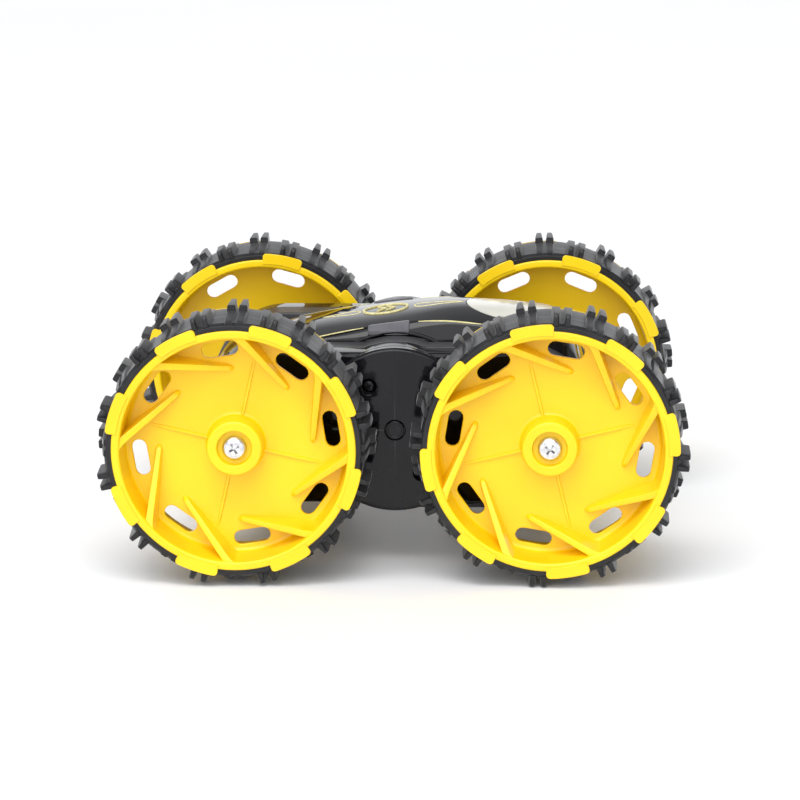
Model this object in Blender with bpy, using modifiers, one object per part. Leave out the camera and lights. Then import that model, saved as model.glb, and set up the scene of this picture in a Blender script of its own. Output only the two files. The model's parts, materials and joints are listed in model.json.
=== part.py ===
"""Four-wheel double-sided stunt car with paddle wheels: a model of its separate pieces, in metres.

+X is the front, +Z is up and the car's right side faces -Y. The origin is on the floor, under the
middle of the four wheels. Each side holds one gearbox that drives both of its wheels; the left
side is the right side turned half a turn about the vertical, so both sides use the same parts.
Side pieces are modelled in their own side's frame: X along the car, Y up, Z out from the car.
"""

import math

import bmesh
import bpy
from mathutils import Matrix, Vector

MM = 0.001

# Driving dimensions
HALF_BASE = 54.0 * MM          # half the wheelbase
AXLE_HEIGHT = 48.0 * MM        # equal to the tread radius
WHEEL_OUTER = 85.0 * MM        # outer rim plane, from the car's middle plane
WHEEL_INNER = 54.0 * MM        # inner rim plane
RIM_RADIUS = 41.7 * MM
TYRE_RADIUS = 44.4 * MM        # between the lugs
LUG_RADIUS = 48.0 * MM
POD_RADIUS = 29.2 * MM         # round gearbox cover
POD_FACE = 50.6 * MM
POD_INNER = 27.0 * MM
POD_SPLIT = 38.0 * MM          # joint between gearbox housing and cover
ARM_FACE = 47.5 * MM
ARM_LENGTH = 70.5 * MM         # half-length of the gearbox box
ARM_HEIGHT = 27.0 * MM
ARM_CORNER = 26.5 * MM
ARM_CROWN = 0.3 * MM           # rise of the box's long edges towards the pod
WALL = 1.8 * MM
GAP = 0.3 * MM

# Wheel, outwards from the middle plane
WEB_FRONT = 71.6 * MM
WEB_BACK = 69.6 * MM
RIM_MOUTH = 39.0 * MM          # inside radius at both rim edges
WEB_RADIUS = 36.0 * MM
BOSS_RADIUS = 9.7 * MM
BOSS_FACE = 80.0 * MM
BACK_BOSS_RADIUS = 7.0 * MM
BACK_BOSS_FACE = 61.8 * MM
RECESS_RADIUS = 6.5 * MM
RECESS_FLOOR = 77.0 * MM
SOCKET_END = 74.0 * MM
SLOT_CENTRE = 33.3 * MM
SLOT_LENGTH = 12.6 * MM
SLOT_WIDTH = 5.6 * MM
BLADES = 8
BLADE_THICKNESS = 1.8 * MM
BLADE_ANGLES = (-11.0, -53.0)  # degrees from the slot to the blade's rim end and its tip
BLADE_TIP = 0.63 * RIM_RADIUS
TIP_RISE = 1.2 * MM            # blade height above the web at its tip
CLIP_ANGLE = 18.0              # degrees from the slot
CLIP_THICKNESS = 1.5 * MM
CLIP_SPAN = 20.0               # degrees
CLIP_RADIUS = 44.4 * MM
LUGS = 24
LUG_SPAN = 8.2                 # degrees, one pair of lugs as one block
TYRE_BORE = 42.4 * MM

AXLE_RADIUS = 2.4 * MM
PIN_RADIUS = 1.5 * MM
SCREW_RADIUS = 1.3 * MM
HEAD_RADIUS = 2.9 * MM
HEAD_HEIGHT = 1.7 * MM
POST_RADIUS = 3.0 * MM
WHEEL_HEAD = 4.2 * MM          # wheel screw head radius
WHEEL_HEAD_TOP = 2.4 * MM      # above the recess floor
WHEEL_THREAD = 4.0 * MM        # screwed into the axle
SNOUT_ROOT = 9.4 * MM          # snout radii at the box and at the end
SNOUT_TIP = 7.2 * MM
SNOUT_END = 60.2 * MM
SNOUT_BORE = 4.4 * MM
SEAL_PLANE = (54.0 * MM, 60.0 * MM)

# Gears: tooth counts and modules
SPUR_MODULE = 2.0 * MM
FINE_MODULE = 0.75 * MM
WHEEL_TEETH = 12
IDLER_TEETH = 15
DRIVE_TEETH = 28
PINION_TEETH = 8
COMPOUND_TEETH = 24
BACKLASH = 0.16                # share of the module taken off each tooth
MOTOR_PLANE = (30.0 * MM, 33.0 * MM)
DRIVE_PLANE = (34.0 * MM, 38.0 * MM)
SPUR_PLANE = (39.5 * MM, 44.5 * MM)
COMPOUND_ANGLE = math.radians(60)
MOTOR_ANGLE = math.radians(-60)  # from the compound gear to the motor

MOTOR_RADIUS = 10.0 * MM
MOTOR_HALF_FLAT = 7.6 * MM
MOTOR_BACK = 1.5 * MM
MOTOR_FRONT = 24.0 * MM
MOTOR_BORE = 1.6 * MM
MOTOR_SHAFT = 1.0 * MM
MOTOR_COLLAR = 3.4 * MM        # hole in the housing round the motor shaft

# Gearbox screws, in a side's frame
DISC_SCREW = (9.2 * MM, 15.4 * MM)
DISC_RECESS = 3.2 * MM
DISC_TAPER = 1.2 * MM          # less radius at the pod's face
ARM_RECESS = 0.7 * MM
PLUG_RADIUS = 3.7 * MM
PLUG_DEPTH = 2.0 * MM
PLUG_RISE = 0.2 * MM
ARM_SCREW = (46.0 * MM, 18.0 * MM)

# Body: height of the roof line, drop to the shoulder and shoulder half-width along the car,
# all above the axles, as (place along the car, value) in millimetres
ROOF_LINE = ((-68, 12), (-62, 20.5), (-50, 25.5), (-32, 29.6), (-12, 33.4), (8, 35.9),
             (20, 36.3), (32, 35.9), (45, 34.8), (56, 33.0), (63, 27.5), (67, 15))
SHOULDER_DROP = ((-68, 2.0), (-38, 2.4), (-12, 2.0), (7, 2.1), (30, 3.3), (67, 3.5))
SHOULDER_WIDTH = ((-68, 19), (-60, 23.5), (-38, 25.4), (-12, 23.5), (7, 23.0), (30, 24.4),
                  (56, 24.0), (67, 19))
BODY_HALF = 26.4 * MM
BODY_STATIONS = (-68, -66, -60, -50, -40, -30, -20, -10, 0, 10, 20, 32, 45, 56, 61, 65, 67)

WINDSCREEN_START = 24.0 * MM
WINDSCREEN_END = 57.0 * MM
WINDSCREEN_HALF = 19.5 * MM
BADGE_PLACE = -5.0 * MM
BADGE_RADIUS = 8.4 * MM
DOOR_SIZE = (44.0 * MM, 28.0 * MM)
DOOR_CENTRE = 20.0 * MM
DOOR_FACE = 36.9 * MM          # below the axles
DOOR_THICKNESS = 2.3 * MM
DOOR_SCREW = 2.4 * MM          # radius of the hole for the door screw
DOOR_SCREW_INSET = 4.0 * MM
CUT_HEIGHTS = (25.0 * MM, 45.0 * MM)  # above or below the axles, through the roof or the belly
BATTERY_SIZE = (40.0 * MM, 25.0 * MM, 13.0 * MM)
BOARD_SIZE = (38.0 * MM, 30.0 * MM, 1.6 * MM)
BOARD_CENTRE = (-26.0 * MM, 0.0, 16.0 * MM)
SWITCH_PLACE = -24.0 * MM
SWITCH_TRAVEL = 4.0 * MM
KNOB_SIZE = (5.0 * MM, 3.4 * MM)
KNOB_TOP = 26.0 * MM           # below the axles
KNOB_END = 33.4 * MM

# Turn of each wheel's first slot and first tread block about its axle, seen from outside the car
WHEELS = {
    "front_right": ("right", 1, 35.5, 12.4),
    "rear_right": ("right", -1, 8.9, 31.1),
    "front_left": ("left", -1, 22.4, 29.9),
    "rear_left": ("left", 1, 15.7, 14.9),
}


def clear_scene():
    for old in list(bpy.data.objects):
        bpy.data.objects.remove(old, do_unlink=True)


def make_collection(name):
    collection = bpy.data.collections.new(name)
    bpy.context.scene.collection.children.link(collection)
    return collection


def make_material(name, color, roughness, metallic=0.0):
    material = bpy.data.materials.new(name)
    material.use_nodes = True
    shader = material.node_tree.nodes["Principled BSDF"]
    shader.inputs["Base Color"].default_value = (*color, 1.0)
    shader.inputs["Roughness"].default_value = roughness
    shader.inputs["Metallic"].default_value = metallic
    return material


def add_object(name, mesh, material, collection):
    obj = bpy.data.objects.new(name, mesh)
    collection.objects.link(obj)
    if material:
        mesh.materials.clear()
        mesh.materials.append(material)
    return obj


def mesh_from(bm, name):
    mesh = bpy.data.meshes.new(name)
    bm.to_mesh(mesh)
    bm.free()
    return mesh


def cylinder_mesh(name, radius, low, high, segments=16, place=(0.0, 0.0), top_radius=None):
    """A closed cylinder or cone along Z, from low to high."""
    bm = bmesh.new()
    middle = Matrix.Translation((place[0], place[1], (low + high) / 2))
    top = radius if top_radius is None else top_radius
    bmesh.ops.create_cone(bm, cap_ends=True, segments=segments, radius1=radius, radius2=top,
                          depth=high - low, matrix=middle)
    return mesh_from(bm, name)


def box_mesh(name, size, centre):
    bm = bmesh.new()
    bmesh.ops.create_cube(bm, size=1.0)
    bmesh.ops.scale(bm, vec=Vector(size), verts=bm.verts)
    bmesh.ops.translate(bm, vec=Vector(centre), verts=bm.verts)
    return mesh_from(bm, name)


def flat_mesh(name, outlines, low, high):
    """Closed plate between two heights, from flat outlines; outlines inside the first are holes."""
    curve = bpy.data.curves.new(name + "_outline", "CURVE")
    curve.dimensions = "2D"
    curve.fill_mode = "BOTH"
    curve.extrude = (high - low) / 2
    for outline in outlines:
        spline = curve.splines.new("POLY")
        spline.points.add(len(outline) - 1)
        for point, (x, y) in zip(spline.points, outline):
            point.co = (x, y, 0.0, 1.0)
        spline.use_cyclic_u = True
    holder = bpy.data.objects.new(name + "_outline", curve)
    bpy.context.scene.collection.objects.link(holder)
    bpy.context.view_layer.update()
    graph = bpy.context.evaluated_depsgraph_get()
    mesh = bpy.data.meshes.new_from_object(holder.evaluated_get(graph))
    bm = bmesh.new()
    bm.from_mesh(mesh)
    bmesh.ops.remove_doubles(bm, verts=bm.verts, dist=0.00001)
    bmesh.ops.recalc_face_normals(bm, faces=bm.faces)
    bmesh.ops.translate(bm, vec=(0.0, 0.0, (low + high) / 2), verts=bm.verts)
    bm.to_mesh(mesh)
    bm.free()
    bpy.data.objects.remove(holder)
    bpy.data.curves.remove(curve)
    return mesh


def joined_mesh(name, meshes):
    """One mesh holding several closed bodies, for use as one cutter or one addition."""
    bm = bmesh.new()
    for mesh in meshes:
        bm.from_mesh(mesh)
    return mesh_from(bm, name)


def apply_boolean(obj, operation, mesh, cutters):
    """Adds or cuts a mesh given in the object's own frame."""
    tool = bpy.data.objects.new(f"{obj.name}_{operation.lower()}_{len(obj.modifiers)}", mesh)
    cutters.objects.link(tool)
    tool.parent = obj
    tool.hide_render = True
    tool.display_type = "WIRE"
    modifier = obj.modifiers.new(operation.lower(), "BOOLEAN")
    modifier.operation = operation
    modifier.object = tool
    modifier.solver = "EXACT"


def ring_points(radius, count, centre=(0.0, 0.0), start=0.0):
    """Points round a circle."""
    step = 2 * math.pi / count
    return [(centre[0] + radius * math.cos(start + k * step),
             centre[1] + radius * math.sin(start + k * step)) for k in range(count)]


def arc_points(radius, centre, start, end, steps):
    """Points along an arc, both ends included; angles in degrees."""
    angles = [math.radians(start + (end - start) * k / steps) for k in range(steps + 1)]
    return [(centre[0] + radius * math.cos(a), centre[1] + radius * math.sin(a)) for a in angles]


def turned(name, profile, steps, material, collection):
    """Solid of revolution about Z from a closed profile of (radius, height) points."""
    mesh = bpy.data.meshes.new(name)
    count = len(profile)
    edges = [(k, (k + 1) % count) for k in range(count)]
    mesh.from_pydata([(r, 0.0, z) for r, z in profile], edges, [])
    obj = add_object(name, mesh, material, collection)
    screw = obj.modifiers.new("turn", "SCREW")
    screw.steps = steps
    screw.render_steps = steps
    screw.use_merge_vertices = True
    screw.merge_threshold = 0.00001
    return obj


def smooth_value(points, place):
    """Value at a place along a list of (place, value) points, eased through each point."""
    places = [p for p, _ in points]
    values = [v for _, v in points]
    if place <= places[0]:
        return values[0]
    if place >= places[-1]:
        return values[-1]
    last = len(points) - 1
    k = max(i for i in range(last) if places[i] <= place)
    slopes = []
    for i in (k, k + 1):
        before = max(i - 1, 0)
        after = min(i + 1, last)
        slopes.append((values[after] - values[before]) / (places[after] - places[before]))
    width = places[k + 1] - places[k]
    t = (place - places[k]) / width
    start = values[k] * (1 + 2 * t) * (1 - t) ** 2 + slopes[0] * width * t * (1 - t) ** 2
    return start + values[k + 1] * t * t * (3 - 2 * t) + slopes[1] * width * t * t * (t - 1)


# Side frames -------------------------------------------------------------------------------

def side_frame(side):
    """Empty whose X runs along the car, Y up and Z out from that side."""
    frame = bpy.data.objects.new(side + "_side_frame", None)
    bpy.context.scene.collection.objects.link(frame)
    frame.location = (0.0, 0.0, AXLE_HEIGHT)
    turn = 0.0 if side == "right" else math.pi
    frame.rotation_euler = (math.pi / 2, 0.0, turn)
    return frame


def put(obj, frame, place=(0.0, 0.0), turn=0.0):
    """Places an object in a side's frame, with its own Z on a line out from the car."""
    obj.parent = frame
    obj.location = (place[0], place[1], 0.0)
    obj.rotation_euler = (0.0, 0.0, turn)


# Gears -------------------------------------------------------------------------------------

def gear_outline(teeth, module):
    """Outline with straight-sided teeth, the first on +X."""
    pitch = teeth * module / 2
    tip = pitch + 0.9 * module
    root = pitch - 1.15 * module
    quarter = math.pi / (2 * teeth)
    half_pitch = quarter - BACKLASH * module / pitch
    slope = math.tan(math.radians(20))
    half_tip = half_pitch - 0.9 * module * slope / pitch
    half_root = min(half_pitch + 1.0 * module * slope / pitch, 1.7 * quarter)
    points = []
    for k in range(teeth):
        middle = 2 * math.pi * k / teeth
        for radius, angle in ((root, -half_root), (tip, -half_tip), (tip, half_tip),
                              (root, half_root)):
            points.append((radius * math.cos(middle + angle), radius * math.sin(middle + angle)))
    return points


def gear(name, teeth, module, plane, bore, material, collection):
    """Plain gear with a round bore."""
    outlines = [gear_outline(teeth, module), ring_points(bore, 10)]
    return add_object(name, flat_mesh(name, outlines, plane[0], plane[1]), material, collection)


def double_gear(name, large, small, bore, small_turn, material, collection, cutters):
    """Two gears on one axis, moulded as one piece; each gear is (teeth, module, plane)."""
    teeth, module, plane = large
    obj = add_object(name, flat_mesh(name, [gear_outline(teeth, module)], *plane),
                     material, collection)
    teeth, module, plane = small
    second = flat_mesh(name + "_small", [gear_outline(teeth, module)], *plane)
    second.transform(Matrix.Rotation(small_turn, 4, "Z"))
    apply_boolean(obj, "UNION", second, cutters)
    low = min(large[2][0], small[2][0]) - 1 * MM
    high = max(large[2][1], small[2][1]) + 1 * MM
    apply_boolean(obj, "DIFFERENCE", cylinder_mesh(name + "_bore", bore, low, high, 10), cutters)
    return obj


def gear_places():
    """Places and turns of the gears in a side's frame, in mesh at rest."""
    drive_radius = (DRIVE_TEETH + PINION_TEETH) * FINE_MODULE / 2
    motor_radius = (COMPOUND_TEETH + PINION_TEETH) * FINE_MODULE / 2
    compound = (drive_radius * math.cos(COMPOUND_ANGLE), drive_radius * math.sin(COMPOUND_ANGLE))
    motor = (compound[0] + motor_radius * math.cos(MOTOR_ANGLE),
             compound[1] + motor_radius * math.sin(MOTOR_ANGLE))
    half_pinion = math.pi / PINION_TEETH
    return {
        "idler": (WHEEL_TEETH + IDLER_TEETH) * SPUR_MODULE / 2,
        "compound": compound,
        "compound_turn": MOTOR_ANGLE,
        "small_turn": COMPOUND_ANGLE + math.pi + half_pinion - MOTOR_ANGLE,
        "motor": motor,
        "motor_turn": MOTOR_ANGLE + math.pi + half_pinion,
        "drive_turn": COMPOUND_ANGLE,
    }


# Wheels ------------------------------------------------------------------------------------

def rim_profile():
    """Closed profile of the wheel: barrel, web, front boss with screw recess, axle socket."""
    return [
        (RIM_RADIUS, WHEEL_OUTER), (RIM_RADIUS, WHEEL_INNER), (RIM_MOUTH, WHEEL_INNER),
        (WEB_RADIUS, WEB_BACK), (BACK_BOSS_RADIUS, WEB_BACK), (BACK_BOSS_RADIUS, BACK_BOSS_FACE),
        (AXLE_RADIUS + GAP, BACK_BOSS_FACE), (AXLE_RADIUS + GAP, SOCKET_END),
        (SCREW_RADIUS + GAP, SOCKET_END), (SCREW_RADIUS + GAP, RECESS_FLOOR),
        (RECESS_RADIUS, RECESS_FLOOR), (RECESS_RADIUS, BOSS_FACE), (BOSS_RADIUS, BOSS_FACE),
        (BOSS_RADIUS, WEB_FRONT), (WEB_RADIUS, WEB_FRONT), (RIM_MOUTH, WHEEL_OUTER),
    ]


def slot_cutters():
    """Round-ended slots through the web, one for each blade."""
    half = (SLOT_LENGTH - SLOT_WIDTH) / 2
    end = SLOT_WIDTH / 2
    outline = arc_points(end, (SLOT_CENTRE, half), 0, 180, 2)
    outline += arc_points(end, (SLOT_CENTRE, -half), 180, 360, 2)
    slot = flat_mesh("slot", [outline], WEB_BACK - 3 * MM, WEB_FRONT + 4 * MM)
    meshes = []
    for k in range(BLADES):
        copy = slot.copy()
        copy.transform(Matrix.Rotation(2 * math.pi * k / BLADES, 4, "Z"))
        meshes.append(copy)
    return joined_mesh("slots", meshes)


def blade_mesh(turn):
    """One paddle blade: a thin wall from the barrel inwards, down to the web at its tip."""
    ends = []
    for radius, angle in zip(((RIM_RADIUS + RIM_MOUTH) / 2, BLADE_TIP), BLADE_ANGLES):
        angle = math.radians(turn + angle)
        ends.append(Vector((radius * math.cos(angle), radius * math.sin(angle), 0.0)))
    along = ends[1] - ends[0]
    side = Vector((-along.y, along.x, 0.0)).normalized() * BLADE_THICKNESS / 2
    tops = (WHEEL_OUTER - GAP, WEB_FRONT + TIP_RISE)
    bm = bmesh.new()
    bmesh.ops.create_cube(bm, size=1.0)
    for vert in bm.verts:
        end = 1 if vert.co.x > 0 else 0
        place = ends[end] + side * (1 if vert.co.y > 0 else -1)
        height = tops[end] if vert.co.z > 0 else (WEB_FRONT + WEB_BACK) / 2
        vert.co = (place.x, place.y, height)
    bmesh.ops.recalc_face_normals(bm, faces=bm.faces)
    return mesh_from(bm, "blade")


def clip_mesh(middle, low, high):
    """One tyre clip: a short arc standing out from the rim's edge."""
    half = CLIP_SPAN / 2
    inner = (RIM_RADIUS + RIM_MOUTH) / 2
    outline = arc_points(inner, (0.0, 0.0), middle - half, middle + half, 2)
    outline += arc_points(CLIP_RADIUS, (0.0, 0.0), middle + half, middle - half, 2)
    return flat_mesh("clip", [outline], low, high)


def rim_additions():
    """Blades and tyre clips of the outer face."""
    meshes = []
    for k in range(BLADES):
        turn = 360.0 * k / BLADES
        meshes.append(blade_mesh(turn))
        meshes.append(clip_mesh(turn + CLIP_ANGLE, WHEEL_OUTER - CLIP_THICKNESS,
                                WHEEL_OUTER - 0.1 * MM))
    return joined_mesh("blades_and_clips", meshes)


def make_rim(name, material, collection, cutters):
    obj = turned(name, rim_profile(), 20, material, collection)
    apply_boolean(obj, "DIFFERENCE", slot_cutters(), cutters)
    apply_boolean(obj, "UNION", rim_additions(), cutters)
    return obj


def make_tyre(name, material, collection):
    """Tyre band with one tread block for each pair of lugs."""
    outline = []
    half = math.radians(LUG_SPAN / 2)
    for k in range(LUGS):
        middle = 2 * math.pi * k / LUGS
        for radius, angle in ((TYRE_RADIUS, -half), (LUG_RADIUS, -half), (LUG_RADIUS, half),
                              (TYRE_RADIUS, half)):
            outline.append((radius * math.cos(middle + angle), radius * math.sin(middle + angle)))
    low = WHEEL_INNER + CLIP_THICKNESS + GAP
    high = WHEEL_OUTER - CLIP_THICKNESS - GAP
    mesh = flat_mesh(name, [outline, ring_points(TYRE_BORE, 32)], low, high)
    return add_object(name, mesh, material, collection)


def screw_mesh(name, head, head_low, head_high, shank, shank_low):
    """Round-headed screw along Z."""
    bm = bmesh.new()
    bm.from_mesh(cylinder_mesh(name, shank, shank_low, head_low, 8))
    bmesh.ops.delete(bm, geom=[f for f in bm.faces if f.normal.z > 0.9], context="FACES_ONLY")
    rim = sorted({v for v in bm.verts if v.co.z > head_low - 0.00001},
                 key=lambda v: math.atan2(v.co.y, v.co.x))
    previous = rim
    for radius, height in ((head, head_low), (head, (head_low + head_high) / 2),
                           (head * 0.72, head_high)):
        ring = [bm.verts.new((v.co.x * radius / shank, v.co.y * radius / shank, height))
                for v in rim]
        for k in range(len(ring)):
            after = (k + 1) % len(ring)
            bm.faces.new((previous[k], previous[after], ring[after], ring[k]))
        previous = ring
    bm.faces.new(previous)
    bmesh.ops.recalc_face_normals(bm, faces=bm.faces)
    return mesh_from(bm, name)


def make_wheel(name, frame, place, slot_turn, lug_turn, paint, collection, cutters):
    """One wheel with everything that turns with it."""
    rim = make_rim(name + "_rim", paint["yellow"], collection, cutters)
    put(rim, frame, (place, 0.0), math.radians(slot_turn))
    tyre = make_tyre(name + "_tyre", paint["tyre"], collection)
    put(tyre, frame, (place, 0.0), math.radians(lug_turn))
    head = screw_mesh(name + "_wheel_screw", WHEEL_HEAD, RECESS_FLOOR + GAP,
                      RECESS_FLOOR + WHEEL_HEAD_TOP, SCREW_RADIUS, SOCKET_END - WHEEL_THREAD)
    screw = add_object(name + "_wheel_screw", head, paint["steel"], collection)
    put(screw, frame, (place, 0.0))
    shaft = cylinder_mesh(name + "_axle", AXLE_RADIUS, POD_INNER + 2 * GAP, SOCKET_END - GAP)
    axle = add_object(name + "_axle", shaft, paint["steel"], collection)
    socket = cylinder_mesh(name + "_thread", SCREW_RADIUS + GAP,
                           SOCKET_END - WHEEL_THREAD - 1 * MM, SOCKET_END + 1 * MM, 10)
    apply_boolean(axle, "DIFFERENCE", socket, cutters)
    put(axle, frame, (place, 0.0))
    wheel_gear = gear(name + "_axle_gear", WHEEL_TEETH, SPUR_MODULE, SPUR_PLANE,
                      AXLE_RADIUS + GAP, paint["nylon"], collection)
    put(wheel_gear, frame, (place, 0.0), math.pi / WHEEL_TEETH)


# Gearboxes ---------------------------------------------------------------------------------

def pod_outline(inset):
    """Rounded box with the round pod standing out above and below its middle."""
    disc = POD_RADIUS - inset
    height = ARM_HEIGHT - inset
    length = ARM_LENGTH - inset
    corner = ARM_CORNER - inset
    meet = math.degrees(math.asin((height + ARM_CROWN) / disc))
    points = []
    for turn in (0, 180):
        sign = 1 if turn == 0 else -1
        points += arc_points(disc, (0.0, 0.0), turn + meet, turn + 180 - meet, 5)
        upper = (-sign * (length - corner), sign * (height - corner))
        lower = (-sign * (length - corner), -sign * (height - corner))
        points += arc_points(corner, upper, turn + 90, turn + 180, 4)
        points += arc_points(corner, lower, turn + 180, turn + 270, 4)
    return points


def screw_places():
    """Gearbox screws: two through the round pod, two near the ends of the box."""
    x, y = DISC_SCREW
    u, v = ARM_SCREW
    return [(-x, y), (x, -y), (u, v), (-u, -v)]


def make_housing(side, frame, paint, collection, cutters):
    """Inboard half of the gearbox, with the gear pins and screw posts moulded on its floor."""
    places = gear_places()
    name = side + "_gearbox_housing"
    obj = add_object(name, flat_mesh(name, [pod_outline(0.0)], POD_INNER, POD_SPLIT),
                     paint["black"], collection)
    floor = POD_INNER + WALL
    pocket = flat_mesh("pocket", [pod_outline(WALL)], floor, POD_SPLIT + 1 * MM)
    apply_boolean(obj, "DIFFERENCE", pocket, cutters)
    root = floor - 0.9 * MM
    pin_end = ARM_FACE - WALL - GAP
    pins = [(0.0, 0.0), (places["idler"], 0.0), (-places["idler"], 0.0)]
    meshes = [cylinder_mesh("pin", PIN_RADIUS, root, pin_end, 8, pin) for pin in pins]
    meshes.append(cylinder_mesh("pin", PIN_RADIUS, root, DRIVE_PLANE[1] - 1 * MM, 8,
                                places["compound"]))
    meshes += [cylinder_mesh("post", POST_RADIUS, root, pin_end, 10, p) for p in screw_places()]
    apply_boolean(obj, "UNION", joined_mesh("pins_and_posts", meshes), cutters)
    holes = [cylinder_mesh("hole", SCREW_RADIUS + GAP, POD_SPLIT - 4 * MM, ARM_FACE, 8, p)
             for p in screw_places()]
    for end in (-HALF_BASE, HALF_BASE):
        holes.append(cylinder_mesh("axle_hole", AXLE_RADIUS + GAP, POD_INNER - 1 * MM,
                                   floor + 1 * MM, 12, (end, 0.0)))
    holes.append(cylinder_mesh("motor_hole", MOTOR_COLLAR, POD_INNER - 1 * MM, floor + 1 * MM,
                               12, places["motor"]))
    apply_boolean(obj, "DIFFERENCE", joined_mesh("holes", holes), cutters)
    put(obj, frame)


def make_cover(side, frame, paint, collection, cutters):
    """Outboard half of the gearbox: box, round pod and a snout round each axle."""
    name = side + "_gearbox_cover"
    low = POD_SPLIT + GAP
    obj = add_object(name, flat_mesh(name, [pod_outline(0.0)], low, ARM_FACE),
                     paint["black"], collection)
    inner_face = ARM_FACE - WALL
    pocket = flat_mesh("pocket", [pod_outline(WALL)], low - 1 * MM, inner_face)
    apply_boolean(obj, "DIFFERENCE", pocket, cutters)
    root = ARM_FACE - 0.9 * MM
    additions = [cylinder_mesh("disc", POD_RADIUS - GAP, root, POD_FACE, 32,
                               top_radius=POD_RADIUS - DISC_TAPER)]
    for end in (-HALF_BASE, HALF_BASE):
        additions.append(cylinder_mesh("snout", SNOUT_ROOT, root, SNOUT_END, 16, (end, 0.0),
                                       top_radius=SNOUT_TIP))
    apply_boolean(obj, "UNION", joined_mesh("disc_and_snouts", additions), cutters)
    holes = []
    for place in screw_places():
        on_disc = math.hypot(*place) < POD_RADIUS
        face = POD_FACE if on_disc else ARM_FACE
        depth = DISC_RECESS if on_disc else ARM_RECESS
        holes.append(cylinder_mesh("recess", HEAD_RADIUS + 0.6 * MM, face - depth,
                                   face + 1 * MM, 12, place))
    apply_boolean(obj, "DIFFERENCE", joined_mesh("recesses", holes), cutters)
    bores = [cylinder_mesh("bore", SCREW_RADIUS + GAP, inner_face - 1 * MM, POD_FACE, 8, p)
             for p in screw_places()]
    for end in (-HALF_BASE, HALF_BASE):
        bores.append(cylinder_mesh("snout_bore", SNOUT_BORE, inner_face - 1 * MM,
                                   SNOUT_END + 1 * MM, 12, (end, 0.0)))
    apply_boolean(obj, "DIFFERENCE", joined_mesh("bores", bores), cutters)
    plug_recess = cylinder_mesh("plug_recess", PLUG_RADIUS + GAP, POD_FACE - PLUG_DEPTH,
                                POD_FACE + 1 * MM, 16)
    apply_boolean(obj, "DIFFERENCE", plug_recess, cutters)
    put(obj, frame)


def make_seal(name, frame, place, paint, collection):
    """Ring between the snout and the axle."""
    outlines = [ring_points(SNOUT_BORE - 2 * GAP, 12), ring_points(AXLE_RADIUS + GAP, 12)]
    obj = add_object(name, flat_mesh(name, outlines, *SEAL_PLANE), paint["rubber"], collection)
    put(obj, frame, (place, 0.0))


def make_motor(side, frame, paint, collection):
    """Small can motor with two flats."""
    places = gear_places()
    flat = math.degrees(math.asin(MOTOR_HALF_FLAT / MOTOR_RADIUS))
    outline = arc_points(MOTOR_RADIUS, (0.0, 0.0), -flat, flat, 6)
    outline += arc_points(MOTOR_RADIUS, (0.0, 0.0), 180 - flat, 180 + flat, 6)
    bore = ring_points(MOTOR_BORE, 10)
    name = side + "_motor"
    obj = add_object(name, flat_mesh(name, [outline, bore], MOTOR_BACK, MOTOR_FRONT),
                     paint["steel"], collection)
    put(obj, frame, places["motor"])


def make_gear_train(side, frame, paint, collection, cutters):
    """Motor pinion, compound gear, drive gear and the two idlers of one side."""
    places = gear_places()
    bore = PIN_RADIUS + GAP
    outline = gear_outline(PINION_TEETH, FINE_MODULE)
    pinion = add_object(side + "_motor_pinion", flat_mesh("pinion", [outline], *MOTOR_PLANE),
                        paint["brass"], collection)
    shaft = cylinder_mesh("shaft", MOTOR_SHAFT, MOTOR_FRONT - 6 * MM, MOTOR_PLANE[0] + 1 * MM, 10)
    apply_boolean(pinion, "UNION", shaft, cutters)
    put(pinion, frame, places["motor"], places["motor_turn"])
    small_plane = (MOTOR_PLANE[1] - 1 * MM, DRIVE_PLANE[1] - 1.3 * MM)
    compound = double_gear(side + "_compound_gear", (COMPOUND_TEETH, FINE_MODULE, MOTOR_PLANE),
                           (PINION_TEETH, FINE_MODULE, small_plane), bore, places["small_turn"],
                           paint["nylon"], collection, cutters)
    put(compound, frame, places["compound"], places["compound_turn"])
    spur_plane = (DRIVE_PLANE[1] - 1 * MM, SPUR_PLANE[1])
    drive = double_gear(side + "_drive_gear", (DRIVE_TEETH, FINE_MODULE, DRIVE_PLANE),
                        (WHEEL_TEETH, SPUR_MODULE, spur_plane), bore, -places["drive_turn"],
                        paint["nylon"], collection, cutters)
    put(drive, frame, (0.0, 0.0), places["drive_turn"])
    direction = 1 if side == "right" else -1
    for end, sign in (("front", direction), ("rear", -direction)):
        idler = gear(f"{side}_{end}_idler_gear", IDLER_TEETH, SPUR_MODULE, SPUR_PLANE, bore,
                     paint["nylon"], collection)
        idler_turn = 0.0 if sign > 0 else math.pi / IDLER_TEETH
        put(idler, frame, (sign * places["idler"], 0.0), idler_turn)


def make_side(side, paint, collection, cutters):
    """Gearbox of one side with its motor, gears, screws and plug."""
    frame = side_frame(side)
    make_housing(side, frame, paint, collection, cutters)
    make_cover(side, frame, paint, collection, cutters)
    make_motor(side, frame, paint, collection)
    make_gear_train(side, frame, paint, collection, cutters)
    plug = cylinder_mesh("plug", PLUG_RADIUS, POD_FACE - PLUG_DEPTH + GAP, POD_FACE + PLUG_RISE, 16)
    put(add_object(side + "_pod_plug", plug, paint["black"], collection), frame)
    for number, place in enumerate(screw_places(), 1):
        on_disc = math.hypot(*place) < POD_RADIUS
        seat = POD_FACE - DISC_RECESS if on_disc else ARM_FACE - ARM_RECESS
        name = f"{side}_gearbox_screw_{number}"
        mesh = screw_mesh(name, HEAD_RADIUS, seat + GAP, seat + GAP + HEAD_HEIGHT, SCREW_RADIUS,
                          POD_SPLIT - 3 * MM)
        put(add_object(name, mesh, paint["dark_steel"], collection), frame, place)
    return frame


# Body --------------------------------------------------------------------------------------

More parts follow.
